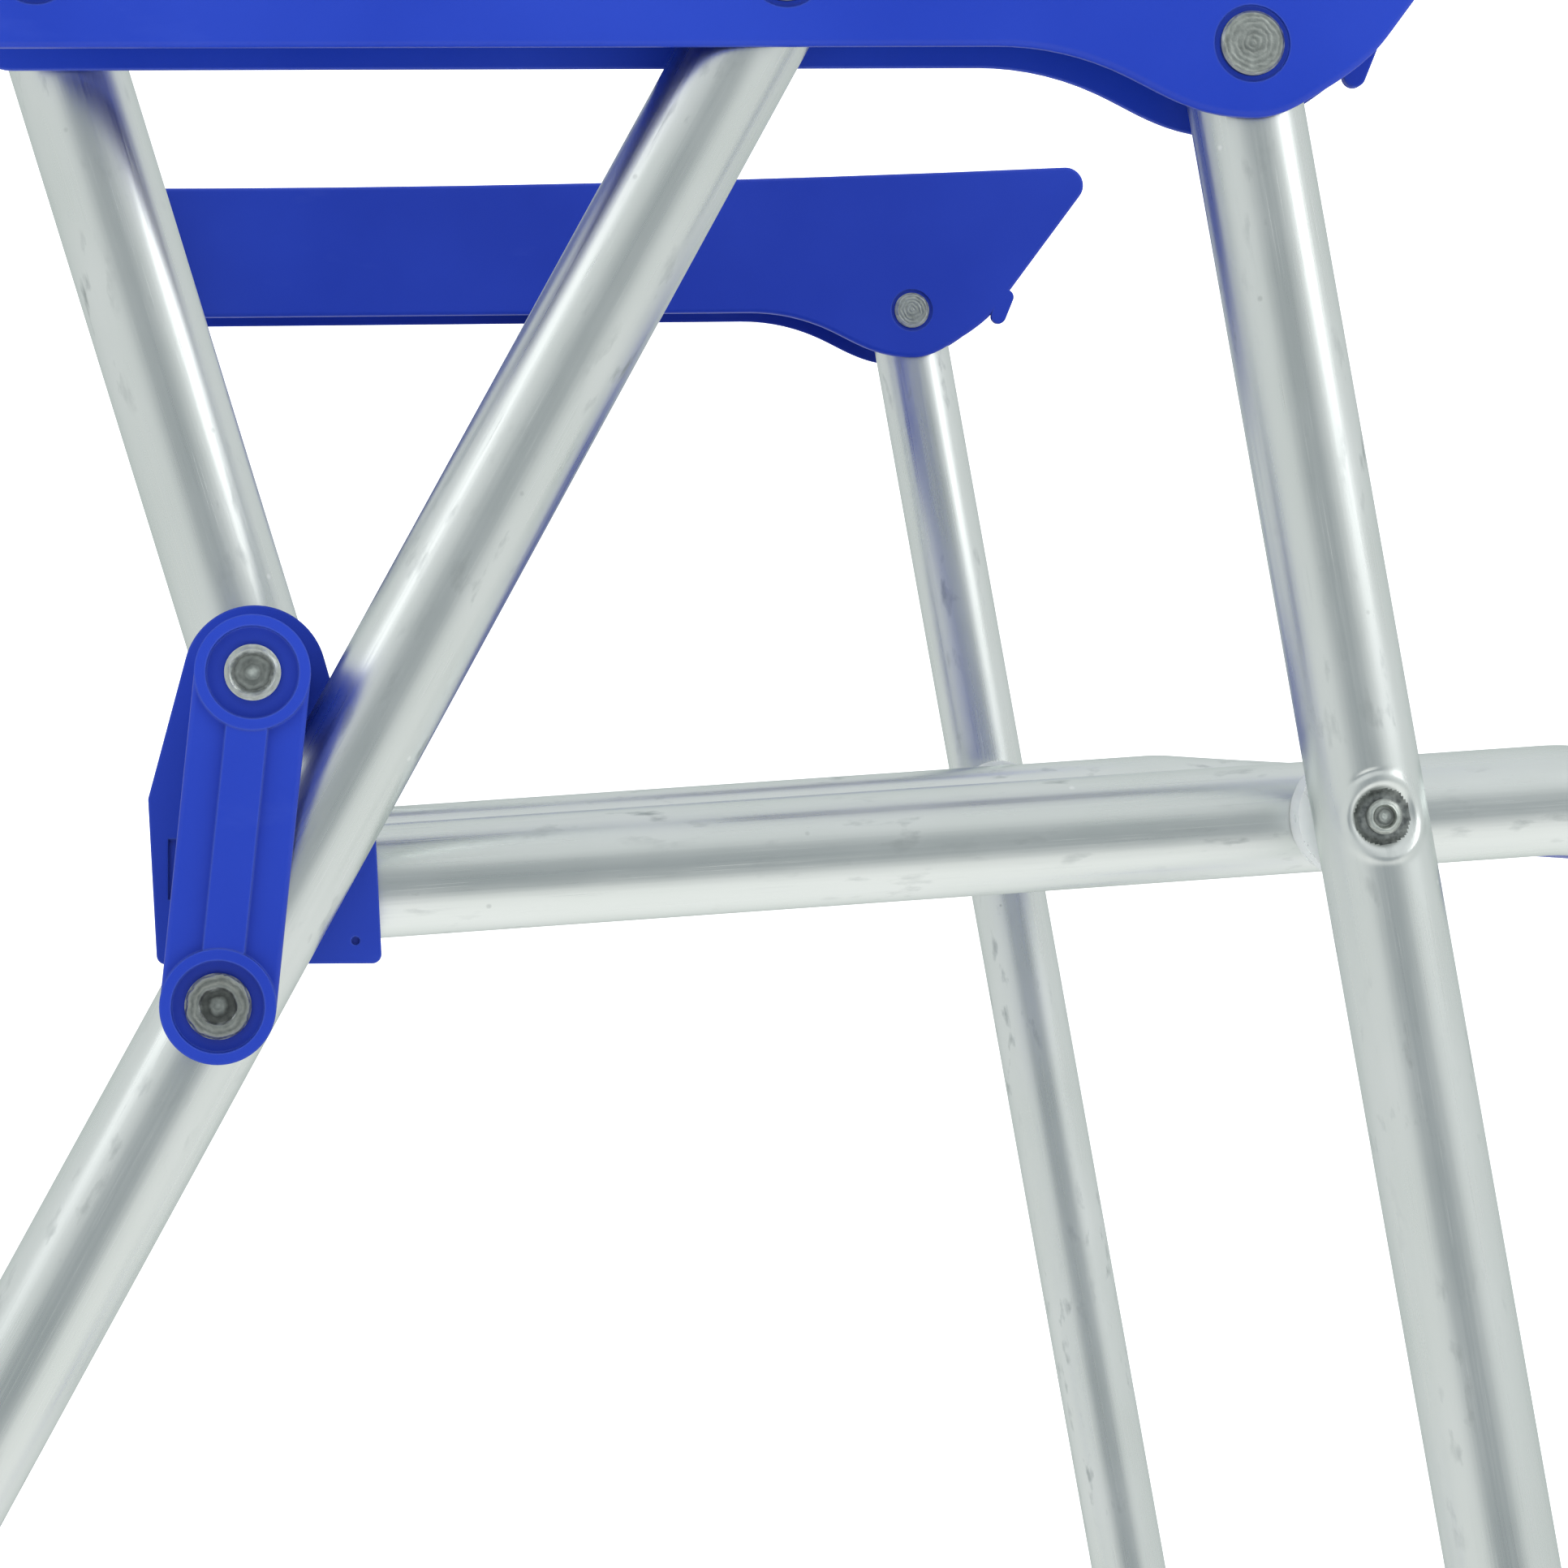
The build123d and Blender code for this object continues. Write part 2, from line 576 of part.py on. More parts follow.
def make_front_leg_tube():
    """Bent U of the front legs, dished around the rivets where it crosses the seat."""
    dish_floor = LEG_OUT - DIMPLE_DEPTH
    with BuildPart() as front_leg_tube:
        sweep_u_tube([FRONT_LEG_TOP, FRONT_LEG_FOOT], LEG_REACH, LEG_BEND_R)
        for side in (-1, 1):
            leg_side = Plane(
                origin=(CROSS_HINGE[0], side * (dish_floor - TUBE_WALL), CROSS_HINGE[1]),
                x_dir=(1, 0, 0),
                z_dir=(0, side, 0),
            )
            with BuildSketch(leg_side):
                Circle(DIMPLE_R)
            extrude(amount=DIMPLE_DEPTH / 2 + TUBE_WALL)
            with BuildSketch(leg_side.offset(TUBE_WALL)):
                Circle(DIMPLE_R - DIMPLE_DEPTH / 2)
            extrude(amount=DIMPLE_DEPTH, taper=DIMPLE_TAPER, mode=Mode.SUBTRACT)
        cut_cross_holes(ARM_FRONT_HINGE, PIN_HOLE_R)
        cut_cross_holes(CROSS_HINGE, CROSS_HOLE_R)
    return front_leg_tube


def make_rear_leg_tube():
    """Bent U of the rear legs."""
    with BuildPart() as rear_leg_tube:
        sweep_u_tube([REAR_LEG_TOP, REAR_LEG_FOOT], LEG_REACH, LEG_BEND_R)
        cut_cross_holes(ARM_MID_HINGE, PIN_HOLE_R)
        cut_cross_holes(LINK_HINGE, PIN_HOLE_R)
    return rear_leg_tube


def make_foot(bar):
    """Plastic sleeve on a floor bar with a flat sole."""
    with BuildPart() as foot:
        with BuildSketch(side_plane(FOOT_REACH - FOOT_LENGTH / 2)):
            with Locations(bar):
                Circle(TUBE_R + FOOT_DROP)
            with Locations((bar[0], FLOOR_BAR_Z / 2)):
                Rectangle(FOOT_SOLE_W, FLOOR_BAR_Z)
            with Locations(bar):
                Circle(TUBE_R + SOCKET_FIT, mode=Mode.SUBTRACT)
        extrude(amount=FOOT_LENGTH)
        ends = foot.faces().filter_by(Axis.Y)
        chamfer(ends.edges().filter_by(GeomType.LINE), length=FOOT_DROP / 4)
    return foot


def make_cross_rivet_outer():
    """Outer half of the thin rivet, with a hollow head in the leg's dish."""
    floor = LEG_OUT - DIMPLE_DEPTH
    rim = floor + DIMPLE_DEPTH - PIN_FIT
    with BuildPart() as rivet:
        turn_on_hinge(CROSS_HINGE, [
            (0, rim - CUP_RIM),
            (CROSS_PIN_R - CUP_RIM / 2, rim - CUP_RIM),
            (CROSS_PIN_R, rim),
            (CROSS_HEAD_R, rim - CUP_RIM / 2),
            (CROSS_HEAD_R, floor),
            (CROSS_PIN_R, floor),
            (CROSS_PIN_R, SEAT_OUT + 2 * FACE_GAP),
            (0, SEAT_OUT + 2 * FACE_GAP),
        ])
    return rivet


def make_cross_spacer():
    """Clear plastic spacer between a front leg and the seat, hollowed to seat on the leg."""
    spacer_in = SEAT_OUT + FACE_GAP
    leg_axis = Plane(
        origin=(FRONT_LEG_FOOT[0], -LEG_REACH, FRONT_LEG_FOOT[1]),
        z_dir=(FRONT_LEG_TOP[0] - FRONT_LEG_FOOT[0], 0, FRONT_LEG_TOP[1] - FRONT_LEG_FOOT[1]),
    )
    with BuildPart() as spacer:
        with BuildSketch(side_plane(spacer_in)):
            with Locations(CROSS_HINGE):
                Circle(TUBE_R + SPACER_RIM)
                Circle(CROSS_HOLE_R, mode=Mode.SUBTRACT)
        extrude(amount=LEG_IN + SPACER_SADDLE - spacer_in)
        with BuildSketch(leg_axis):
            Circle(TUBE_R + SOCKET_FIT)
        extrude(amount=math.dist(FRONT_LEG_FOOT, FRONT_LEG_TOP), mode=Mode.SUBTRACT)
    return spacer


# --- Links ------------------------------------------------------------------------------

def make_link():
    """Moulded link with a rim round each end, a rib between them and a long hub."""
    link_run = (LINK_HINGE[0] - SEAT_HINGE[0], LINK_HINGE[1] - SEAT_HINGE[1])
    middle = ((LINK_HINGE[0] + SEAT_HINGE[0]) / 2, (LINK_HINGE[1] + SEAT_HINGE[1]) / 2)
    turn = math.degrees(math.atan2(link_run[1], link_run[0]))
    hub_in = BRACKET_OUT + FACE_GAP
    with BuildPart() as link:
        with BuildSketch(side_plane(LINK_IN)):
            with Locations(SEAT_HINGE, LINK_HINGE):
                Circle(LINK_R)
            make_hull()
        extrude(amount=LINK_BASE_T)
        outer_rim = link.faces().sort_by(Axis.Y)[0]
        fillet(outer_rim.edges(), radius=CORNER_R / 2)
        with BuildSketch(side_plane(LINK_IN)):
            with Locations(SEAT_HINGE, LINK_HINGE):
                Circle(LINK_R)
        extrude(amount=LINK_RIM_T)
        with BuildSketch(side_plane(LINK_IN)):
            with Locations(middle):
                Rectangle(math.hypot(*link_run) - LINK_R, LINK_RIB_W, rotation=turn)
        extrude(amount=LINK_RIB_T)
        with BuildSketch(side_plane(LINK_FLOOR)):
            with Locations(SEAT_HINGE, LINK_HINGE):
                Circle(LINK_R - LINK_RIM_W)
        extrude(amount=LINK_RIM_T, mode=Mode.SUBTRACT)
        with BuildSketch(side_plane(hub_in)):
            with Locations(SEAT_HINGE):
                Circle(HUB_R)
        extrude(amount=LINK_IN - hub_in)
        cut_cross_holes(SEAT_HINGE, PIN_HOLE_R)
        cut_cross_holes(LINK_HINGE, PIN_HOLE_R)
    return link


def make_link_rivet_outer():
    """Outer half of the link's lower rivet, with a hollow head."""
    rim = LINK_FLOOR + HEAD_T
    with BuildPart() as rivet:
        turn_on_hinge(LINK_HINGE, [
            (0, rim - HEAD_T / 2),
            (PIN_R, rim - HEAD_T / 2),
            (PIN_R + CUP_RIM / 2, rim - CUP_RIM / 2),
            (HEAD_R - CUP_RIM, rim),
            (HEAD_R, rim - CUP_RIM / 2),
            (HEAD_R, LINK_FLOOR),
            (PIN_R, LINK_FLOOR),
            (PIN_R, LINK_IN),
            (0, LINK_IN),
        ])
    return rivet


def make_link_washer():
    """Thin washer on the inside of a link, over the rear leg."""
    washer_in = LEG_OUT + FACE_GAP
    with BuildPart() as washer:
        with BuildSketch(side_plane(washer_in)):
            with Locations(LINK_HINGE):
                Circle(RECESS_R)
                Circle(PIN_HOLE_R, mode=Mode.SUBTRACT)
        extrude(amount=LINK_IN - washer_in)
    return washer


def make_link_rivet_inner():
    """Inner half of the link's lower rivet, fixed in the rear leg."""
    with BuildPart() as rivet:
        turn_on_hinge(LINK_HINGE, [
            (0, LEG_OUT - FACE_GAP),
            (PIN_R, LEG_OUT - FACE_GAP),
            (PIN_R, LEG_IN),
            (TAIL_R - CUP_RIM, LEG_IN),
            (TAIL_R - 2 * CUP_RIM, LEG_IN - TAIL_T),
            (0, LEG_IN - TAIL_T),
        ])
    return rivet


save(make_back_tube(), "back_tube")
save(make_back_low_bar(), "back_low_bar")
save(make_sling(LOW_BAR, BAR_R, BACK_TOP, TUBE_R), "back_sling")
save_pair(make_armrest_back_rivet(), "armrest_back_rivet")
save_pair(make_armrest_washer(), "armrest_washer")
save_pair(make_seat_hinge_rivet(), "seat_hinge_rivet")

save(make_seat_tube(), "seat_tube")
save_pair(make_seat_bracket(), "seat_bracket")
save_pair(make_bracket_screw(), "bracket_screw")
save(make_seat_rear_bar(), "seat_rear_bar")
save(make_sling(SEAT_BAR_BACK, BAR_R, SEAT_FRONT_BAR, TUBE_R), "seat_sling")
save_pair(make_cross_rivet_inner(), "cross_rivet_inner")

save_pair(make_armrest(), "armrest")
save_pair(make_leg_rivet(ARM_FRONT_HINGE), "front_leg_rivet")
save_pair(make_leg_rivet(ARM_MID_HINGE), "rear_leg_rivet")

save(make_front_leg_tube(), "front_leg_tube")
save_pair(make_foot(FRONT_LEG_FOOT), "front_foot")
save_pair(make_cross_rivet_outer(), "cross_rivet_outer")
save_pair(make_cross_spacer(), "cross_spacer")

save(make_rear_leg_tube(), "rear_leg_tube")
save_pair(make_foot(REAR_LEG_FOOT), "rear_foot")
save_pair(make_link_rivet_inner(), "link_rivet_inner")

save_pair(make_link(), "link")
save_pair(make_link_rivet_outer(), "link_rivet_outer")
save_pair(make_link_washer(), "link_washer")
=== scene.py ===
import json
import math

import bmesh
import bpy
from mathutils import Matrix, Vector


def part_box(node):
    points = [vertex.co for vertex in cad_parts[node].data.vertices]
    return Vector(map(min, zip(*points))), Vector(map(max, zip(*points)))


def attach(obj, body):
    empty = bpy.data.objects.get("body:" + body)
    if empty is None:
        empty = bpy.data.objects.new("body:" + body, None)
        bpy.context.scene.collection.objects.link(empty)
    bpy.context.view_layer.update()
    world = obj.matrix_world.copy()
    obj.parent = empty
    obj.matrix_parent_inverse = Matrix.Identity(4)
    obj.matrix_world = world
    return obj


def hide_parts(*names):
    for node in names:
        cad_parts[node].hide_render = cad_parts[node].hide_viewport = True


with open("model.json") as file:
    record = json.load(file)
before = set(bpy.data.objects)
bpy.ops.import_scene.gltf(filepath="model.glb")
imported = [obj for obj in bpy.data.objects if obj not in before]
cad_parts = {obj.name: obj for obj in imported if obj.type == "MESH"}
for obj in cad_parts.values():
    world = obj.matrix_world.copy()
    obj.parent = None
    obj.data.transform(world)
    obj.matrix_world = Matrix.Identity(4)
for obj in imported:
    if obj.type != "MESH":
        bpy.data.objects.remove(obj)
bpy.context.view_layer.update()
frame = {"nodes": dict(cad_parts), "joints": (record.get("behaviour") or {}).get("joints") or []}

# --- Studio -----------------------------------------------------------------------------
# A pale round floor that runs up into a white wall all about the chair, with soft lights
# at the sides, in front and overhead. The floor and wall also glow with a painted light,
# faint near the chair and full white from about 1.15 m out. The air is even and grey, dimmer
# where the camera stands, so the bright tubes show a soft grey band along the side that faces it.

camera_data = bpy.data.cameras.new("camera")
camera_data.lens = 95.96
camera_data.sensor_width = 36.0
camera = bpy.data.objects.new("camera", camera_data)
camera.location = (-0.0577, -1.149, 0.4236)
camera.rotation_euler = (math.radians(89.9), 0.0, math.radians(-6.38))
bpy.context.scene.collection.objects.link(camera)
bpy.context.scene.camera = camera
bpy.context.scene.view_settings.view_transform = "Standard"


def new_material(name):
    """An empty node material, with its shader and output joined."""
    material = bpy.data.materials.new(name)
    material.use_nodes = True
    tree = material.node_tree
    tree.nodes.clear()
    shader = tree.nodes.new("ShaderNodeBsdfPrincipled")
    output = tree.nodes.new("ShaderNodeOutputMaterial")
    tree.links.new(shader.outputs["BSDF"], output.inputs["Surface"])
    return material, tree, shader


def place(name, mesh):
    """Put a mesh in the scene as an object of its own."""
    piece = bpy.data.objects.new(name, mesh)
    bpy.context.scene.collection.objects.link(piece)
    return piece


glowing_room_paint, paint_tree, paint_shader = new_material("white_paint_with_painted_glow")
paint_shader.inputs["Roughness"].default_value = 0.9
paint_shader.inputs["Specular IOR Level"].default_value = 0.1
paint_shader.inputs["Emission Color"].default_value = (1.0, 1.0, 1.0, 1.0)
paint_place = paint_tree.nodes.new("ShaderNodeTexCoord").outputs["Object"]
paint_clouds = paint_tree.nodes.new("ShaderNodeTexNoise")
paint_clouds.inputs["Scale"].default_value = 3.0
paint_tree.links.new(paint_place, paint_clouds.inputs["Vector"])
paint_tint = paint_tree.nodes.new("ShaderNodeValToRGB")
paint_tint.color_ramp.elements[0].color = (0.86, 0.86, 0.86, 1.0)
paint_tint.color_ramp.elements[1].color = (0.90, 0.90, 0.90, 1.0)
paint_tree.links.new(paint_clouds.outputs["Fac"], paint_tint.inputs["Fac"])
paint_tree.links.new(paint_tint.outputs["Color"], paint_shader.inputs["Base Color"])
# Painted glow: the paint's emission rises from 0.06 near the chair to 1.0 from 1.15 m out, so the far floor
# and the wall shine white.
paint_reach = paint_tree.nodes.new("ShaderNodeVectorMath")
paint_reach.operation = "LENGTH"
paint_tree.links.new(paint_place, paint_reach.inputs[0])
glow_reach = paint_tree.nodes.new("ShaderNodeMapRange")
glow_reach.interpolation_type = "SMOOTHSTEP"
glow_reach.inputs["From Min"].default_value = 0.45
glow_reach.inputs["From Max"].default_value = 1.15
glow_reach.inputs["To Min"].default_value = 0.06
glow_reach.inputs["To Max"].default_value = 1.0
paint_tree.links.new(paint_reach.outputs["Value"], glow_reach.inputs["Value"])
paint_tree.links.new(glow_reach.outputs["Result"], paint_shader.inputs["Emission Strength"])


def round_stage(name, profile, open_middle):
    """A round stage sheet about the chair, from (radius, height) points."""
    sheet = bmesh.new()
    segments = 72
    turns = [2 * math.pi * k / segments for k in range(segments)]
    rows = []
    for radius, height in profile:
        rows.append([
            sheet.verts.new((radius * math.cos(turn), radius * math.sin(turn), height))
            for turn in turns
        ])
    for inner, outer in zip(rows, rows[1:]):
        for k in range(segments):
            sheet.faces.new((inner[k - 1], inner[k], outer[k], outer[k - 1])).smooth = True
    if not open_middle:
        sheet.faces.new(rows[0])
    bmesh.ops.recalc_face_normals(sheet, faces=sheet.faces)
    sheet_mesh = bpy.data.meshes.new(name)
    sheet.to_mesh(sheet_mesh)
    sheet.free()
    sheet_mesh.materials.append(glowing_room_paint)
    piece = place(name, sheet_mesh)
    piece.visible_glossy = False
    return piece


floor_r, cove_r, wall_top = 6.0, 1.5, 9.0
round_stage("studio_floor", [(ring_r, 0.0) for ring_r in (0.2, 0.8, 2.0, floor_r)], open_middle=False)
cove = [(floor_r, 0.0)]
cove_steps = 16
for step in range(1, cove_steps + 1):
    turn = math.radians(90.0 * step / cove_steps)
    cove.append((floor_r + cove_r * math.sin(turn), cove_r - cove_r * math.cos(turn)))
cove.append((floor_r + cove_r, wall_top))
surround = round_stage("studio_wall", cove, open_middle=True)
surround.visible_diffuse = False
surround.visible_shadow = False

chair_middle = Vector((0.0, 0.0, 0.45))
for light_name, spot, width, height, power, mirrored in (
    ("left_softbox", (-2.0, -1.15, 1.75), 1.0, 1.4, 3.1, True),
    ("right_softbox", (1.9, -1.30, 1.60), 1.0, 1.5, 7.2, True),
    ("front_fill", (-0.3, -2.0, 2.0), 2.0, 1.4, 13.0, False),
    ("top_fill", (0.2, 0.3, 2.9), 2.2, 1.8, 22.0, False),
):
    light_data = bpy.data.lights.new(light_name, "AREA")
    light_data.shape = "RECTANGLE"
    light_data.size = width
    light_data.size_y = height
    light_data.energy = power
    light = bpy.data.objects.new(light_name, light_data)
    light.location = spot
    light.rotation_euler = (chair_middle - Vector(spot)).to_track_quat("-Z", "Y").to_euler()
    light.visible_glossy = mirrored
    bpy.context.scene.collection.objects.link(light)

world = bpy.data.worlds.new("studio_air")
bpy.context.scene.world = world
world.use_nodes = True
air = world.node_tree
air.nodes.clear()
air_direction = air.nodes.new("ShaderNodeTexCoord")
air_facing = air.nodes.new("ShaderNodeVectorMath")
air_facing.operation = "DOT_PRODUCT"
dim_tilt = math.radians(8)
air_facing.inputs[1].default_value = (0.0, -math.cos(dim_tilt), -math.sin(dim_tilt))
air_split = air.nodes.new("ShaderNodeSeparateXYZ")
air.links.new(air_direction.outputs["Generated"], air_facing.inputs[0])
air.links.new(air_direction.outputs["Generated"], air_split.inputs["Vector"])
air_floor = air.nodes.new("ShaderNodeValToRGB")
air_floor.color_ramp.elements[0].color = (0.84, 0.86, 0.84, 1.0)
air_floor.color_ramp.elements[1].color = (0.60, 0.63, 0.63, 1.0)
for height, shade in ((0.18, (0.76, 0.78, 0.76, 1.0)), (0.38, (0.57, 0.60, 0.59, 1.0))):
    air_floor.color_ramp.elements.new(height).color = shade
air_height = air.nodes.new("ShaderNodeMapRange")
air_height.inputs["From Min"].default_value = -1.0
air.links.new(air_split.outputs["Z"], air_height.inputs["Value"])
air.links.new(air_height.outputs["Result"], air_floor.inputs["Fac"])
air_dim = air.nodes.new("ShaderNodeMapRange")
air_dim.interpolation_type = "SMOOTHSTEP"
air_dim.inputs["From Min"].default_value = 0.74
air_dim.inputs["From Max"].default_value = 0.97
air.links.new(air_facing.outputs["Value"], air_dim.inputs["Value"])
air_blend = air.nodes.new("ShaderNodeMix")
air_blend.data_type = "RGBA"
air_blend.inputs["B"].default_value = (0.29, 0.32, 0.33, 1.0)
air.links.new(air_dim.outputs["Result"], air_blend.inputs["Factor"])
air.links.new(air_floor.outputs["Color"], air_blend.inputs["A"])
air_light = air.nodes.new("ShaderNodeBackground")
air_light.inputs["Strength"].default_value = 1.22
air_out = air.nodes.new("ShaderNodeOutputWorld")
air.links.new(air_blend.outputs["Result"], air_light.inputs["Color"])
air.links.new(air_light.outputs["Background"], air_out.inputs["Surface"])

# --- Tubes ------------------------------------------------------------------------------
# Bare drawn aluminium tube, 25 mm across with a 1.2 mm wall, bent into four U shapes: the
# rear legs, the front legs, the back and the seat. Two thin bars cross the seat and back.
# The skin keeps fine draw lines along its length, cloudy handling marks and small nicks.

tube_metal, metal_tree, metal = new_material("drawn_aluminium")
metal.inputs["Metallic"].default_value = 1.0
metal.inputs["Specular Tint"].default_value = (0.80, 0.83, 0.82, 1.0)
skin = metal_tree.nodes.new("ShaderNodeUVMap")
skin.uv_map = "length_and_girth"


def stretched_noise(tree, source, scale, detail=3.0, along=1.0, across=1.0):
    """Noise laid along the tube, longer one way than the other."""
    stretch = tree.nodes.new("ShaderNodeMapping")
    stretch.inputs["Scale"].default_value = (along, across, 1.0)
    grain = tree.nodes.new("ShaderNodeTexNoise")
    grain.inputs["Scale"].default_value = scale
    grain.inputs["Detail"].default_value = detail
    tree.links.new(source, stretch.inputs["Vector"])
    tree.links.new(stretch.outputs["Vector"], grain.inputs["Vector"])
    return grain.outputs["Fac"]


def spread(tree, value, low, high, to_low, to_high):
    """Stretch a value's range from low..high to another range."""
    scale = tree.nodes.new("ShaderNodeMapRange")
    scale.inputs["From Min"].default_value = low
    scale.inputs["From Max"].default_value = high
    scale.inputs["To Min"].default_value = to_low
    scale.inputs["To Max"].default_value = to_high
    tree.links.new(value, scale.inputs["Value"])
    return scale.outputs["Result"]


def combine(tree, how, first, second):
    """One value from two, such as their sum, product or larger; SINE uses only the first."""
    result = tree.nodes.new("ShaderNodeMath")
    result.operation = how
    for socket, value in zip(result.inputs, (first, second)):
        if isinstance(value, float):
            socket.default_value = value
        else:
            tree.links.new(value, socket)
    return result.outputs["Value"]


def blend_colours(tree, amount, first, second):
    """A colour from first, where amount is 0, to second, where it is 1."""
    blend = tree.nodes.new("ShaderNodeMix")
    blend.data_type = "RGBA"
    tree.links.new(amount, blend.inputs["Factor"])
    for socket, colour in ((blend.inputs["A"], first), (blend.inputs["B"], second)):
        if isinstance(colour, tuple):
            socket.default_value = (*colour, 1.0)
        else:
            tree.links.new(colour, socket)
    return blend.outputs["Result"]


def dent(tree, shader, height, distance, strength, soft_edge=None):
    """Let a height field catch the light as a fine relief, over softened edges if given."""
    bump = tree.nodes.new("ShaderNodeBump")
    if soft_edge:
        tree.links.new(soft_edge, bump.inputs["Normal"])
    bump.inputs["Distance"].default_value = distance
    bump.inputs["Strength"].default_value = strength
    tree.links.new(height, bump.inputs["Height"])
    tree.links.new(bump.outputs["Normal"], shader.inputs["Normal"])


draw_lines = stretched_noise(metal_tree, skin.outputs["UV"], 1.0, 5.0, along=6.0, across=1400.0)
clouds = stretched_noise(metal_tree, skin.outputs["UV"], 22.0, 4.0, along=1.0, across=2.2)
scuffs = stretched_noise(metal_tree, skin.outputs["UV"], 90.0, 6.0, along=1.0, across=2.5)
long_scratches = stretched_noise(metal_tree, skin.outputs["UV"], 1.0, 2.0, along=28.0, across=5200.0)
nicks = metal_tree.nodes.new("ShaderNodeTexVoronoi")
nicks.inputs["Scale"].default_value = 85.0
nicks.inputs["Randomness"].default_value = 1.0
metal_tree.links.new(skin.outputs["UV"], nicks.inputs["Vector"])
nick_split = metal_tree.nodes.new("ShaderNodeSeparateColor")
metal_tree.links.new(nicks.outputs["Color"], nick_split.inputs["Color"])
nick_spots = combine(
    metal_tree, "MULTIPLY",
    spread(metal_tree, nicks.outputs["Distance"], 0.035, 0.07, 1.0, 0.0),
    spread(metal_tree, nick_split.outputs["Red"], 0.70, 0.86, 0.0, 1.0),
)
nick_shade = blend_colours(
    metal_tree, spread(metal_tree, nick_split.outputs["Green"], 0.45, 0.5, 0.0, 1.0),
    (0.25, 0.27, 0.27), (0.93, 0.94, 0.94),
)
scuff_marks = spread(metal_tree, scuffs, 0.57, 0.72, 0.0, 1.0)
scratch_marks = spread(metal_tree, long_scratches, 0.66, 0.72, 0.0, 1.0)
cloud_wear = combine(metal_tree, "MULTIPLY", scuff_marks, spread(metal_tree, clouds, 0.48, 0.62, 0.0, 1.0))
clean_metal = blend_colours(
    metal_tree, spread(metal_tree, clouds, 0.3, 0.7, 0.0, 1.0), (0.770, 0.800, 0.785), (0.830, 0.850, 0.845)
)
scuffed_metal = blend_colours(metal_tree, cloud_wear, clean_metal, (0.50, 0.53, 0.53))
metal_tree.links.new(
    blend_colours(metal_tree, nick_spots, scuffed_metal, nick_shade), metal.inputs["Base Color"]
)
soft_sheen = spread(metal_tree, clouds, 0.3, 0.7, 0.27, 0.36)
lined_sheen = combine(metal_tree, "ADD", soft_sheen, spread(metal_tree, draw_lines, 0.3, 0.7, -0.05, 0.05))
worn_sheen = combine(metal_tree, "ADD", lined_sheen, spread(metal_tree, cloud_wear, 0.0, 1.0, 0.0, 0.16))
metal_tree.links.new(worn_sheen, metal.inputs["Roughness"])
relief = combine(metal_tree, "ADD", draw_lines, spread(metal_tree, scratch_marks, 0.0, 1.0, 0.0, -0.8))
relief = combine(metal_tree, "ADD", relief, spread(metal_tree, nick_spots, 0.0, 1.0, 0.0, -3.0))
dent(metal_tree, metal, relief, 0.00002, 0.6)

# Dark metal for the inside of each pressed dish round the crossing rivets: its colour, 0.17 to 0.40, is
# painted shade in the recess.
dish_painted_shade_metal, pressed_tree, pressed_shader = new_material("pressed_aluminium_painted_shade")
pressed_shader.inputs["Metallic"].default_value = 1.0
pressed_place = pressed_tree.nodes.new("ShaderNodeTexCoord").outputs["Object"]
dish_mottle = stretched_noise(pressed_tree, pressed_place, 700.0, 4.0)
pressed_share = spread(pressed_tree, dish_mottle, 0.35, 0.65, 0.0, 1.0)
pressed_tree.links.new(
    blend_colours(pressed_tree, pressed_share, (0.17, 0.18, 0.18), (0.40, 0.42, 0.41)),
    pressed_shader.inputs["Base Color"],
)
pressed_sheen = spread(pressed_tree, dish_mottle, 0.3, 0.7, 0.35, 0.55)
pressed_tree.links.new(pressed_sheen, pressed_shader.inputs["Roughness"])
dent(pressed_tree, pressed_shader, dish_mottle, 0.00006, 0.6)


run_step, bend_steps = 0.02, 24
fine_step, fine_count = 0.0004, 28


def tube_line(corners, bend_r, fine_spots):
    """Points and headings along straight runs joined by round bends, close together at spots."""
    line = []
    at = corners[0]
    for index, corner in enumerate(corners[1:], start=1):
        heading = (corner - at).normalized()
        if index < len(corners) - 1:
            onward = (corners[index + 1] - corner).normalized()
            turn = heading.angle(onward)
            run_end = corner - heading * bend_r * math.tan(turn / 2)
        else:
            run_end = corner
        length = (run_end - at).length
        steps = max(1, round(length / run_step))
        stops = {0.0, length}
        stops.update(length * k / steps for k in range(1, steps))
        for spot in fine_spots:
            middle = (spot - at).dot(heading)
            near = [middle + k * fine_step for k in range(-fine_count, fine_count + 1)]
            stops.update(stop for stop in near if 0 < stop < length)
        line += [(at + heading * stop, heading) for stop in sorted(stops)]
        if index < len(corners) - 1:
            axis = heading.cross(onward).normalized()
            centre = run_end + axis.cross(heading) * bend_r
            for k in range(1, bend_steps):
                spin = Matrix.Rotation(turn * k / bend_steps, 3, axis)
                line.append((centre + spin @ (run_end - centre), spin @ heading))
            at = centre + Matrix.Rotation(turn, 3, axis) @ (run_end - centre)
    return line


dish_edge_r, dish_side, dish_depth = 0.0079, 0.0034, 0.0022
dish_floor_r = 0.0062
lip_r, lip_spread, lip_width = 0.0086, 0.0006, 0.0011
lip_low, lip_extra, lip_towards = 0.00010, 0.00042, math.radians(50)
crease_r, crease_width, crease_depth = 0.0101, 0.0006, 0.00055
crease_at, crease_half_turn = math.radians(112), 0.30


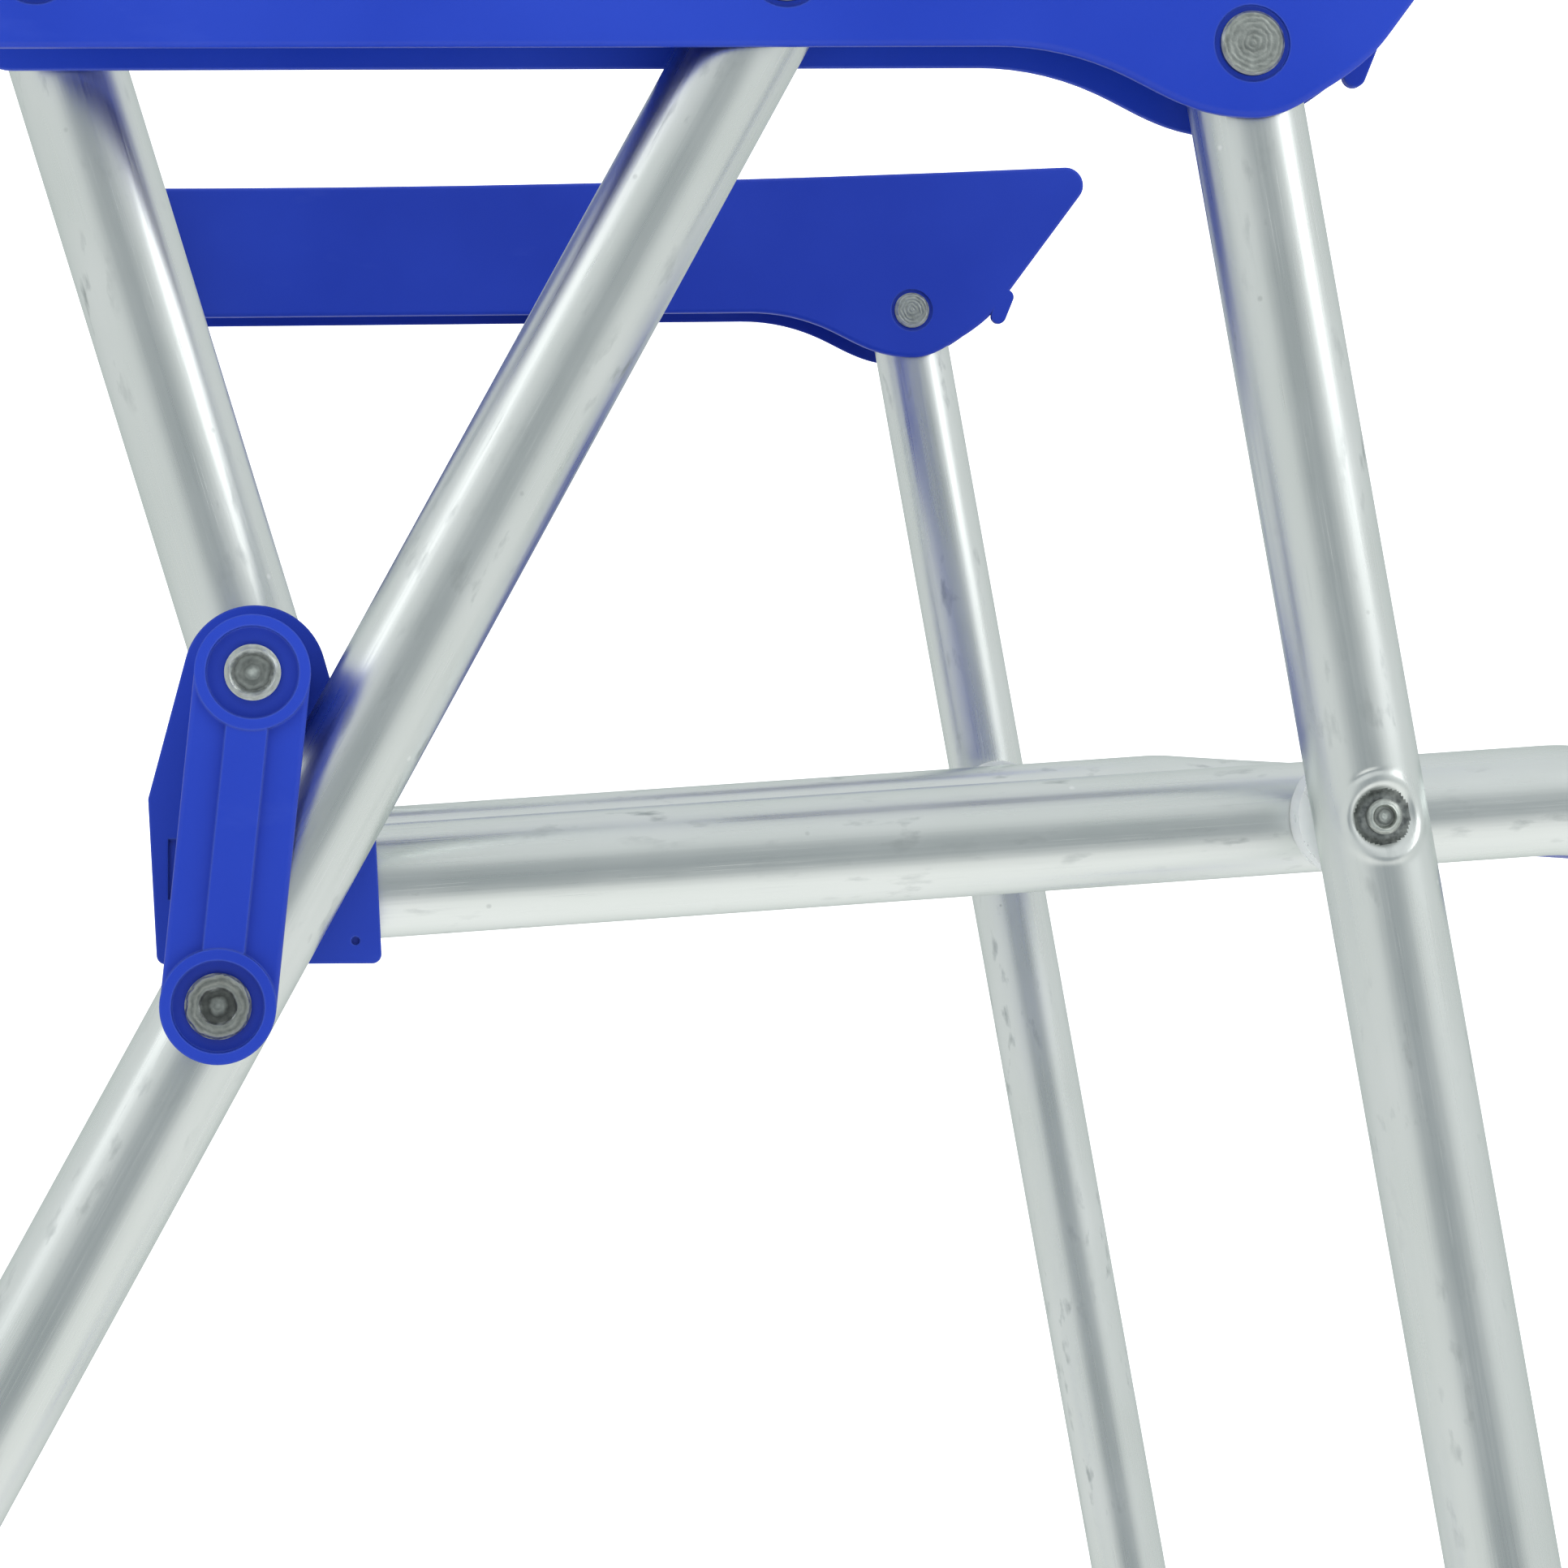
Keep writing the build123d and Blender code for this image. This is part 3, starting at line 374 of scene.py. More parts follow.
def press_dish(corner, dish, outward):
    """Push a point of the skin into the dish round a thin rivet, with its lip and crease."""
    off = corner - dish
    if off.y * outward <= 0:
        return
    away = math.hypot(off.x, off.z)
    fall = max(0.0, min(1.0, (dish_edge_r - away) / dish_side))
    corner.y -= outward * dish_depth * fall * fall * (3 - 2 * fall)
    around = math.atan2(off.z, off.x)
    heavy = 0.5 + 0.5 * math.cos(around + lip_towards)
    lip = math.exp(-(((away - lip_r - lip_spread * heavy) / lip_width) ** 2))
    corner.y += outward * (lip_low + lip_extra * heavy) * lip
    crease = math.exp(-(((away - crease_r) / crease_width) ** 2))
    crease *= math.exp(-(((around - crease_at) / crease_half_turn) ** 2))
    corner.y -= outward * crease_depth * crease


def bent_tube(name, corners, radius, wall, bend_r=0.0, sides_round=96, dishes=()):
    """A tube along a bent line, with its length and girth unrolled for the finish."""
    line = tube_line(corners, bend_r, [dish for dish, _ in dishes])
    middle = len(corners) // 2
    if len(corners) > 2:
        across = (corners[middle] - corners[middle - 1]).cross(corners[1] - corners[0]).normalized()
    else:
        across = Vector((0.0, 0.0, 1.0))
    tube = bmesh.new()
    unrolled = tube.loops.layers.uv.new("length_and_girth")
    rings = []
    travelled = 0.0
    for index, (point, heading) in enumerate(line):
        if index:
            travelled += (point - line[index - 1][0]).length
        sideways = across.cross(heading).normalized()
        upward = heading.cross(sideways)
        ring = []
        for k in range(sides_round):
            angle = 2 * math.pi * k / sides_round
            corner = point + (upward * math.cos(angle) + sideways * math.sin(angle)) * radius
            for dish, outward in dishes:
                press_dish(corner, dish, outward)
            ring.append(tube.verts.new(corner))
        rings.append((travelled, ring))
    for (start, ring), (end, next_ring) in zip(rings, rings[1:]):
        for k in range(sides_round):
            face = tube.faces.new((ring[k], ring[k - 1], next_ring[k - 1], next_ring[k]))
            face.smooth = True
            high = 2 * math.pi * radius * (k or sides_round) / sides_round
            low = high - 2 * math.pi * radius / sides_round
            spots_on_skin = ((start, high), (start, low), (end, low), (end, high))
            for loop, spot_on_skin in zip(face.loops, spots_on_skin):
                loop[unrolled].uv = spot_on_skin
            # Faces on the dish floor take the dark dish metal, painted shade in the recess.
            spot = face.calc_center_median()
            for dish, outward in dishes:
                away = math.hypot(spot.x - dish.x, spot.z - dish.z)
                if (spot.y - dish.y) * outward > 0 and away < dish_floor_r:
                    face.material_index = 1
    bmesh.ops.recalc_face_normals(tube, faces=tube.faces)
    mesh = bpy.data.meshes.new(name)
    tube.to_mesh(mesh)
    tube.free()
    mesh.materials.append(tube_metal)
    if dishes:
        mesh.materials.append(dish_painted_shade_metal)
    piece = place(name, mesh)
    thickness = piece.modifiers.new("wall", "SOLIDIFY")
    thickness.thickness = wall
    thickness.offset = -1.0
    return piece


sides = {"right": -1, "left": 1}
tube_r, tube_wall, bar_r = 0.0125, 0.0012, 0.008
overrun = 0.014
leg_bend, seat_bend = 0.060, 0.050
hinge_at = {joint["name"]: Vector(joint["pos_m"]) for joint in frame["joints"]}
arm_front = hinge_at["front_legs_fold"]
arm_middle = hinge_at["rear_legs_fold"]
arm_back = hinge_at["armrest_right_fold"]
seat_hinge = hinge_at["seat_fold"]


def middle_of(node):
    """The middle of a CAD node's box."""
    low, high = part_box(node)
    return (low + high) / 2


crossing = middle_of("cross_rivet_inner_right")
link_low = middle_of("link_washer_right")


def u_shape(node, bottom_hinge, top_hinge, end_at_top, bend_z):
    """The four corners of a U whose arms run through two hinge lines, on a CAD tube's box."""
    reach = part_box(node)[1].y - tube_r
    run = Vector((top_hinge.x - bottom_hinge.x, 0.0, top_hinge.z - bottom_hinge.z)).normalized()
    if end_at_top:
        end = Vector((top_hinge.x, 0.0, top_hinge.z)) + run * overrun
    else:
        end = Vector((bottom_hinge.x, 0.0, bottom_hinge.z)) - run * overrun
    share = (bend_z - bottom_hinge.z) / run.z
    corner = Vector((bottom_hinge.x, 0.0, bottom_hinge.z)) + run * share
    out = Vector((0.0, reach, 0.0))
    return [end - out, corner - out, corner + out, end + out]


rear_floor_bar_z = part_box("rear_leg_tube")[0].z + tube_r
rear_legs = bent_tube(
    "rear_legs_bent",
    u_shape("rear_leg_tube", link_low, arm_middle, True, rear_floor_bar_z),
    tube_r, tube_wall, leg_bend,
)
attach(rear_legs, "rear_legs")
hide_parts("rear_leg_tube")

front_leg_low, front_leg_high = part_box("front_leg_tube")
leg_reach = front_leg_high.y - tube_r
leg_dishes = [(Vector((crossing.x, side * leg_reach, crossing.z)), side) for side in sides.values()]
front_legs = bent_tube(
    "front_legs_bent",
    u_shape("front_leg_tube", crossing, arm_front, True, front_leg_low.z + tube_r),
    tube_r, tube_wall, leg_bend, sides_round=160, dishes=leg_dishes,
)
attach(front_legs, "front_legs")
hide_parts("front_leg_tube")

back_low, back_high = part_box("back_tube")
back_frame = bent_tube(
    "back_bent",
    u_shape("back_tube", seat_hinge, arm_back, False, back_high.z - tube_r),
    tube_r, tube_wall, seat_bend,
)
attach(back_frame, "back_frame")
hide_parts("back_tube")

seat_low, seat_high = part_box("seat_tube")
seat_reach = seat_high.y - tube_r
seat_slope = math.radians(3.82)
bar_end_gap = 0.003
seat_run = Vector((math.cos(seat_slope), 0.0, math.sin(seat_slope)))
seat_cross = Vector((crossing.x, 0.0, crossing.z))
seat_front_reach, seat_knee_run, seat_dip = 0.105, 0.004, 0.007
seat_knee = seat_cross + seat_run * (seat_front_reach - seat_bend - seat_knee_run)
seat_corner = seat_cross + seat_run * seat_front_reach - Vector((0.0, 0.0, seat_dip))
seat_end = seat_cross + seat_run * ((seat_low.x + tube_r * seat_run.z - crossing.x) / seat_run.x)
seat_out = Vector((0.0, seat_reach, 0.0))
seat_arm = [seat_end, seat_knee, seat_corner]
seat_frame = bent_tube(
    "seat_bent",
    [point - seat_out for point in seat_arm] + [point + seat_out for point in reversed(seat_arm)],
    tube_r, tube_wall, seat_bend,
)
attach(seat_frame, "seat")
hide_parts("seat_tube")

for bar_name, node, body in (
    ("back_low_cross_bar", "back_low_bar", "back_frame"),
    ("seat_rear_cross_bar", "seat_rear_bar", "seat"),
):
    bar_middle = middle_of(node)
    bar_reach = Vector((0.0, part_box(node)[1].y - bar_end_gap, 0.0))
    bar_ends = [bar_middle - bar_reach, bar_middle + bar_reach]
    bar = bent_tube(bar_name, bar_ends, bar_r, tube_wall, sides_round=64)
    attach(bar, body)
    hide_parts(node)

# --- Moulded plastic --------------------------------------------------------------------
# Royal blue polypropylene mouldings: the armrests, the brackets at the seat hinge, the
# links and the feet. The skin is satin with a very fine grain, faint flow clouds from the
# mould and small pale rubs. Its edges are painted a little paler, partly as wear and partly
# as a painted highlight along them.

blue_plastic, plastic_tree, plastic = new_material("blue_polypropylene")
plastic.inputs["IOR"].default_value = 1.49
plastic.inputs["Specular IOR Level"].default_value = 0.30
plastic_place = plastic_tree.nodes.new("ShaderNodeTexCoord").outputs["Object"]
flow = stretched_noise(plastic_tree, plastic_place, 14.0, 3.0)
grain = stretched_noise(plastic_tree, plastic_place, 2600.0, 2.0)
rubs = stretched_noise(plastic_tree, plastic_place, 60.0, 6.0, along=0.35, across=1.0)
rubs_and_edge_highlight = spread(plastic_tree, rubs, 0.66, 0.80, 0.0, 0.16)
edge_round = plastic_tree.nodes.new("ShaderNodeBevel")
edge_round.samples = 6
edge_round.inputs["Radius"].default_value = 0.0007
soft_edge = edge_round.outputs["Normal"]
edge_flat = plastic_tree.nodes.new("ShaderNodeNewGeometry")
edge_match = plastic_tree.nodes.new("ShaderNodeVectorMath")
edge_match.operation = "DOT_PRODUCT"
plastic_tree.links.new(soft_edge, edge_match.inputs[0])
plastic_tree.links.new(edge_flat.outputs["Normal"], edge_match.inputs[1])
# Paler colour along the edges: part edge wear, part painted highlight.
edge_wear_and_highlight = spread(plastic_tree, edge_match.outputs["Value"], 0.985, 0.86, 0.0, 0.55)
rubs_and_edge_highlight = combine(plastic_tree, "MAXIMUM", rubs_and_edge_highlight, edge_wear_and_highlight)
flow_share = spread(plastic_tree, flow, 0.3, 0.7, 0.0, 1.0)
clean_blue = blend_colours(plastic_tree, flow_share, (0.006, 0.032, 0.365), (0.011, 0.044, 0.430))
plastic_tree.links.new(
    blend_colours(plastic_tree, rubs_and_edge_highlight, clean_blue, (0.06, 0.11, 0.52)), plastic.inputs["Base Color"]
)
plastic_tree.links.new(
    combine(
        plastic_tree, "ADD",
        spread(plastic_tree, flow, 0.3, 0.7, 0.36, 0.46),
        spread(plastic_tree, grain, 0.3, 0.7, -0.05, 0.05),
    ),
    plastic.inputs["Roughness"],
)
plastic_skin = combine(plastic_tree, "ADD", grain, spread(plastic_tree, flow, 0.0, 1.0, 0.0, 2.0))
dent(plastic_tree, plastic, plastic_skin, 0.00003, 0.5, soft_edge)


def finish_node(node, material):
    """Give a CAD node its finish."""
    materials = frame["nodes"][node].data.materials
    materials.clear()
    materials.append(material)


for side in sides:
    for moulding in ("armrest", "seat_bracket", "link", "front_foot", "rear_foot"):
        finish_node(f"{moulding}_{side}", blue_plastic)

# --- Rivets -----------------------------------------------------------------------------
# Zinc plated steel rivets on every hinge line. Their heads are pressed, which leaves
# turned rings and a slightly dull, greenish skin. Their colour is painted in light and dark
# rings round the middle: painted shade down in the cups, painted highlights on rims and
# centres. A flat screw of the same steel holds each bracket to the seat tube from below.


def turned_steel_painted_rings(name, centre, painted_shade_rings, ring_width):
    """Plated steel about a hinge line: (radius, shade) pairs from the middle out give painted light and dark
    rings, and turned rings.
    """
    finish, tree, shader = new_material(name)
    shader.inputs["Metallic"].default_value = 1.0
    spot = tree.nodes.new("ShaderNodeTexCoord").outputs["Object"]
    from_centre = tree.nodes.new("ShaderNodeVectorMath")
    from_centre.operation = "SUBTRACT"
    from_centre.inputs[1].default_value = (centre.x, 0.0, centre.z)
    in_side_view = tree.nodes.new("ShaderNodeVectorMath")
    in_side_view.operation = "MULTIPLY"
    in_side_view.inputs[1].default_value = (1.0, 0.0, 1.0)
    off_centre = tree.nodes.new("ShaderNodeVectorMath")
    off_centre.operation = "LENGTH"
    tree.links.new(spot, from_centre.inputs[0])
    tree.links.new(from_centre.outputs["Vector"], in_side_view.inputs[0])
    tree.links.new(in_side_view.outputs["Vector"], off_centre.inputs[0])
    wobble = stretched_noise(tree, spot, 420.0, 3.0)
    unevenness = spread(tree, wobble, 0.2, 0.8, -0.0005, 0.0005)
    radius = combine(tree, "ADD", off_centre.outputs["Value"], unevenness)
    rings = combine(tree, "SINE", combine(tree, "MULTIPLY", radius, 2 * math.pi / ring_width), 0.0)
    widest_r = 0.0075
    shade = tree.nodes.new("ShaderNodeValToRGB")
    shade.color_ramp.elements[0].color = (*[painted_shade_rings[0][1]] * 3, 1.0)
    shade.color_ramp.elements[1].position = painted_shade_rings[-1][0] / widest_r
    shade.color_ramp.elements[1].color = (*[painted_shade_rings[-1][1]] * 3, 1.0)
    for ring_r, level in painted_shade_rings[1:-1]:
        shade.color_ramp.elements.new(ring_r / widest_r).color = (level, level, level, 1.0)
    tree.links.new(spread(tree, radius, 0.0, widest_r, 0.0, 1.0), shade.inputs["Fac"])
    tarnish = stretched_noise(tree, spot, 650.0, 4.0)
    mottle = combine(
        tree, "ADD", spread(tree, tarnish, 0.3, 0.7, 0.78, 1.10), spread(tree, rings, -1.0, 1.0, -0.07, 0.07)
    )
    tint = tree.nodes.new("ShaderNodeVectorMath")
    tint.operation = "MULTIPLY"
    tint.inputs[1].default_value = (0.97, 1.02, 0.97)
    level = tree.nodes.new("ShaderNodeVectorMath")
    level.operation = "SCALE"
    tree.links.new(shade.outputs["Color"], tint.inputs[0])
    tree.links.new(tint.outputs["Vector"], level.inputs[0])
    tree.links.new(mottle, level.inputs["Scale"])
    tree.links.new(level.outputs["Vector"], shader.inputs["Base Color"])
    tree.links.new(spread(tree, tarnish, 0.3, 0.7, 0.30, 0.46), shader.inputs["Roughness"])
    grit = stretched_noise(tree, spot, 2600.0, 2.0)
    dent(tree, shader, combine(tree, "ADD", rings, grit), 0.00004, 0.7)
    return finish


head_ring, hinge_ring, cross_ring = 0.0012, 0.0014, 0.0010
# Shade for each ring, from the middle out. Flat heads: nearly even, darker at the rim.
flat_head = ((0.0, 0.50), (0.0020, 0.47), (0.0045, 0.52), (0.0062, 0.50), (0.0069, 0.40))
steel_on = {
    "front_leg_rivet": turned_steel_painted_rings("armrest_front_steel", arm_front, flat_head, head_ring),
    "rear_leg_rivet": turned_steel_painted_rings("armrest_middle_steel", arm_middle, flat_head, head_ring),
    "armrest_back_rivet": turned_steel_painted_rings("armrest_rear_steel", arm_back, flat_head, head_ring),
}
# Hinge cup: painted shade in the hollow rings, painted highlights at the centre and rim.
hinge_cup_painted_rings = (
    (0.0, 0.72), (0.0010, 0.60), (0.0017, 0.30), (0.0030, 0.40),
    (0.0037, 0.24), (0.0044, 0.60), (0.0058, 0.66),
)
steel_on["seat_hinge_rivet"] = turned_steel_painted_rings("seat_hinge_steel_painted_rings", seat_hinge, hinge_cup_painted_rings, hinge_ring)
# Link cup: painted shade deep in its hollow, lighter painted rims.
link_cup_painted_rings = (
    (0.0, 0.46), (0.0014, 0.36), (0.0022, 0.13), (0.0034, 0.17),
    (0.0042, 0.42), (0.0050, 0.30), (0.0066, 0.44),
)
steel_on["link_rivet_outer"] = turned_steel_painted_rings("link_steel_painted_rings", link_low, link_cup_painted_rings, head_ring)
steel_on["link_rivet_inner"] = steel_on["link_rivet_outer"]
# Crossing cup: painted highlights at the centre and on a ring, painted shade between.
cross_cup_painted_rings = (
    (0.0, 0.85), (0.0008, 0.55), (0.0016, 0.26), (0.0022, 0.34), (0.0028, 0.80), (0.0036, 0.45),
)
steel_on["cross_rivet_outer"] = turned_steel_painted_rings("crossing_steel_painted_rings", crossing, cross_cup_painted_rings, cross_ring)
steel_on["cross_rivet_inner"] = steel_on["cross_rivet_outer"]
for side in sides:
    for rivet, finish in steel_on.items():
        finish_node(f"{rivet}_{side}", finish)

shank_r, head_r, head_t, slot_depth, screw_sides = 0.0018, 0.0040, 0.0005, 0.0004, 24
for side in sides:
    screw_low, screw_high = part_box(f"bracket_screw_{side}")
    screw_middle = (screw_low + screw_high) / 2
    bracket_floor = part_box(f"seat_bracket_{side}")[0].z
    screw = bmesh.new()
    rings = []
    for radius, height in (
        (shank_r, screw_high.z), (shank_r, bracket_floor), (head_r, bracket_floor),
        (head_r, bracket_floor - 0.3 * head_t), (head_r * 0.9, bracket_floor - head_t),
        (head_r * 0.42, bracket_floor - head_t), (head_r * 0.30, bracket_floor - head_t + slot_depth),
    ):
        turns = [2 * math.pi * k / screw_sides for k in range(screw_sides)]
        rings.append([
            screw.verts.new((
                screw_middle.x + radius * math.cos(turn),
                screw_middle.y + radius * math.sin(turn), height,
            )) for turn in turns
        ])
    for first, second in zip(rings, rings[1:]):
        for k in range(screw_sides):
            screw.faces.new((first[k - 1], first[k], second[k], second[k - 1])).smooth = True
    screw.faces.new(rings[0])
    screw.faces.new(rings[-1])
    bmesh.ops.recalc_face_normals(screw, faces=screw.faces)
    screw_mesh = bpy.data.meshes.new(f"flat_screw_{side}")
    screw.to_mesh(screw_mesh)
    screw.free()
    screw_mesh.materials.append(steel_on["seat_hinge_rivet"])
    screw_piece = place(f"flat_screw_{side}", screw_mesh)
    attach(screw_piece, "seat")
    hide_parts(f"bracket_screw_{side}")

# --- Nylon ------------------------------------------------------------------------------
# Milky natural nylon: the spacers where the front legs cross the seat, and the washers at
# the armrests and links. Light passes into them, so they look like soft white wax.

nylon, nylon_tree, nylon_shader = new_material("natural_nylon")
nylon_shader.inputs["Subsurface Weight"].default_value = 0.6
nylon_shader.inputs["Subsurface Scale"].default_value = 0.004
nylon_shader.inputs["Subsurface Radius"].default_value = (1.0, 1.0, 1.0)
nylon_shader.inputs["Transmission Weight"].default_value = 0.25
nylon_shader.inputs["IOR"].default_value = 1.53
nylon_place = nylon_tree.nodes.new("ShaderNodeTexCoord").outputs["Object"]
nylon_cloud = stretched_noise(nylon_tree, nylon_place, 180.0, 3.0)
nylon_tree.links.new(
    blend_colours(nylon_tree, nylon_cloud, (0.80, 0.84, 0.84), (0.90, 0.93, 0.93)),
    nylon_shader.inputs["Base Color"],
)
nylon_tree.links.new(spread(nylon_tree, nylon_cloud, 0.3, 0.7, 0.25, 0.4), nylon_shader.inputs["Roughness"])
for side in sides:
    for washer in ("cross_spacer", "armrest_washer", "link_washer"):
        finish_node(f"{washer}_{side}", nylon)

# --- Slings -----------------------------------------------------------------------------
# Blue woven polyester panels for the seat and the back. Each is one cut piece with a
# sleeve sewn round a cross bar at both ends and a narrow hem down both sides.

sling_cloth, cloth_tree, cloth = new_material("woven_polyester")
cloth.inputs["Sheen Weight"].default_value = 0.25
cloth.inputs["Sheen Roughness"].default_value = 0.4
cloth_uv = cloth_tree.nodes.new("ShaderNodeUVMap")
cloth_uv.uv_map = "cut_piece"
threads = []
for heading in ("X", "Y"):
    wave = cloth_tree.nodes.new("ShaderNodeTexWave")
    wave.wave_type = "BANDS"
    wave.bands_direction = heading
    wave.inputs["Scale"].default_value = 260.0
    wave.inputs["Distortion"].default_value = 0.6
    wave.inputs["Detail"].default_value = 2.0
    cloth_tree.links.new(cloth_uv.outputs["UV"], wave.inputs["Vector"])
    threads.append(wave.outputs["Fac"])
weave = combine(cloth_tree, "MULTIPLY", threads[0], threads[1])
yarn_shade = stretched_noise(cloth_tree, cloth_uv.outputs["UV"], 1.0, 3.0, along=18.0, across=900.0)
weave_blue = blend_colours(cloth_tree, weave, (0.010, 0.028, 0.230), (0.026, 0.070, 0.470))
paler_yarn = spread(cloth_tree, yarn_shade, 0.35, 0.65, 0.0, 0.35)
cloth_tree.links.new(
    blend_colours(cloth_tree, paler_yarn, weave_blue, (0.05, 0.10, 0.52)),
    cloth.inputs["Base Color"],
)
cloth_tree.links.new(spread(cloth_tree, weave, 0.0, 1.0, 0.85, 0.65), cloth.inputs["Roughness"])
dent(cloth_tree, cloth, weave, 0.0002, 0.8)
thread_blue, thread_tree, thread_shader = new_material("sewing_thread")
thread_shader.inputs["Roughness"].default_value = 0.6
thread_noise = stretched_noise(
    thread_tree, thread_tree.nodes.new("ShaderNodeTexCoord").outputs["Object"], 3000.0, 2.0
)
thread_tree.links.new(
    blend_colours(thread_tree, thread_noise, (0.30, 0.36, 0.62), (0.46, 0.52, 0.78)),
    thread_shader.inputs["Base Color"],
)


cloth_t, sleeve_gap = 0.0009, 0.0004
sleeve_wrap, sleeve_steps = math.radians(330), 40
span_steps, cloth_columns = 60, 70
draw_in = 0.012
ripple_h, edge_lift_h = 0.0007, 0.0010
hem_width, hem_strips = 0.012, 3
row_offsets, side_row_inset = (0.010, 0.0145), 0.0095
stitch_len, stitch_pitch, stitch_r = 0.0030, 0.0042, 0.00042
stitch_rings, stitch_sides = 5, 6
row_end_gap, side_row_gap = 0.002, 0.02


def sling_section(low_bar, low_r, high_bar, high_r, facing, sag):
    """Points round the low bar's sleeve, along the panel and round the high bar's sleeve."""
    run = high_bar - low_bar
    span = run.length
    run = run / span
    lean = (low_r - high_r) / span
    out = facing * math.sqrt(1 - lean * lean) + run * lean
    back = out.cross(run).normalized()
    section = []
    for k in range(sleeve_steps + 1):
        spin = Matrix.Rotation(-sleeve_wrap * (1 - k / sleeve_steps), 3, back)
        section.append(low_bar + spin @ (out * (low_r + sleeve_gap)))
    start = low_bar + out * (low_r + sleeve_gap)
    end = high_bar + out * (high_r + sleeve_gap)
    for k in range(1, span_steps):
        share = k / span_steps
        section.append(start.lerp(end, share) - out * sag * slack_at(share))
    for k in range(sleeve_steps + 1):
        spin = Matrix.Rotation(sleeve_wrap * k / sleeve_steps, 3, back)
        section.append(high_bar + spin @ (out * (high_r + sleeve_gap)))
    return section, out


def slack_at(share):
    """How loose the cloth is: 0 at the bars and 1 in the middle of the panel."""
    return max(0.0, 4 * share * (1 - share))


def cloth_rise(across, share):
    """How far the cloth stands off a flat panel, in soft ripples and lifted side edges."""
    slack = slack_at(share)
    ripple = ripple_h * math.sin(17 * across + 2.2 * math.sin(9 * share)) * math.sin(math.pi * slack)
    return ripple + edge_lift_h * slack * abs(across) ** 6


def finish_cloth(name, cloth_mesh, finish, thickness, body):
    """Turn a bmesh into a piece of the sling, as thick as given, riding on its frame."""
    mesh = bpy.data.meshes.new(name)
    bmesh.ops.recalc_face_normals(cloth_mesh, faces=cloth_mesh.faces)
    cloth_mesh.to_mesh(mesh)
    cloth_mesh.free()
    mesh.materials.append(finish)
    piece = place(name, mesh)
    if thickness:
        layer = piece.modifiers.new("cloth", "SOLIDIFY")
        layer.thickness = thickness
        layer.offset = 0.0
    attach(piece, body)
    return piece


def sew(stitches, point, heading, up):
    """One stitch: a short round thread lying on the cloth, its ends dipping in."""
    rings = []
    side_way = heading.cross(up)
    turns = [2 * math.pi * q / stitch_sides for q in range(stitch_sides)]
    for k in range(stitch_rings):
        share = k / (stitch_rings - 1)
        rise = stitch_r * (1.3 * math.sin(math.pi * share) - 0.3)
        centre = point + heading * stitch_len * (share - 0.5) + up * rise
        rings.append([
            stitches.verts.new(centre + (up * math.cos(turn) + side_way * math.sin(turn)) * stitch_r)
            for turn in turns
        ])
    for first, second in zip(rings, rings[1:]):
        for q in range(stitch_sides):
            stitches.faces.new((first[q - 1], first[q], second[q], second[q - 1])).smooth = True
    stitches.faces.new(rings[0])
    stitches.faces.new(rings[-1])


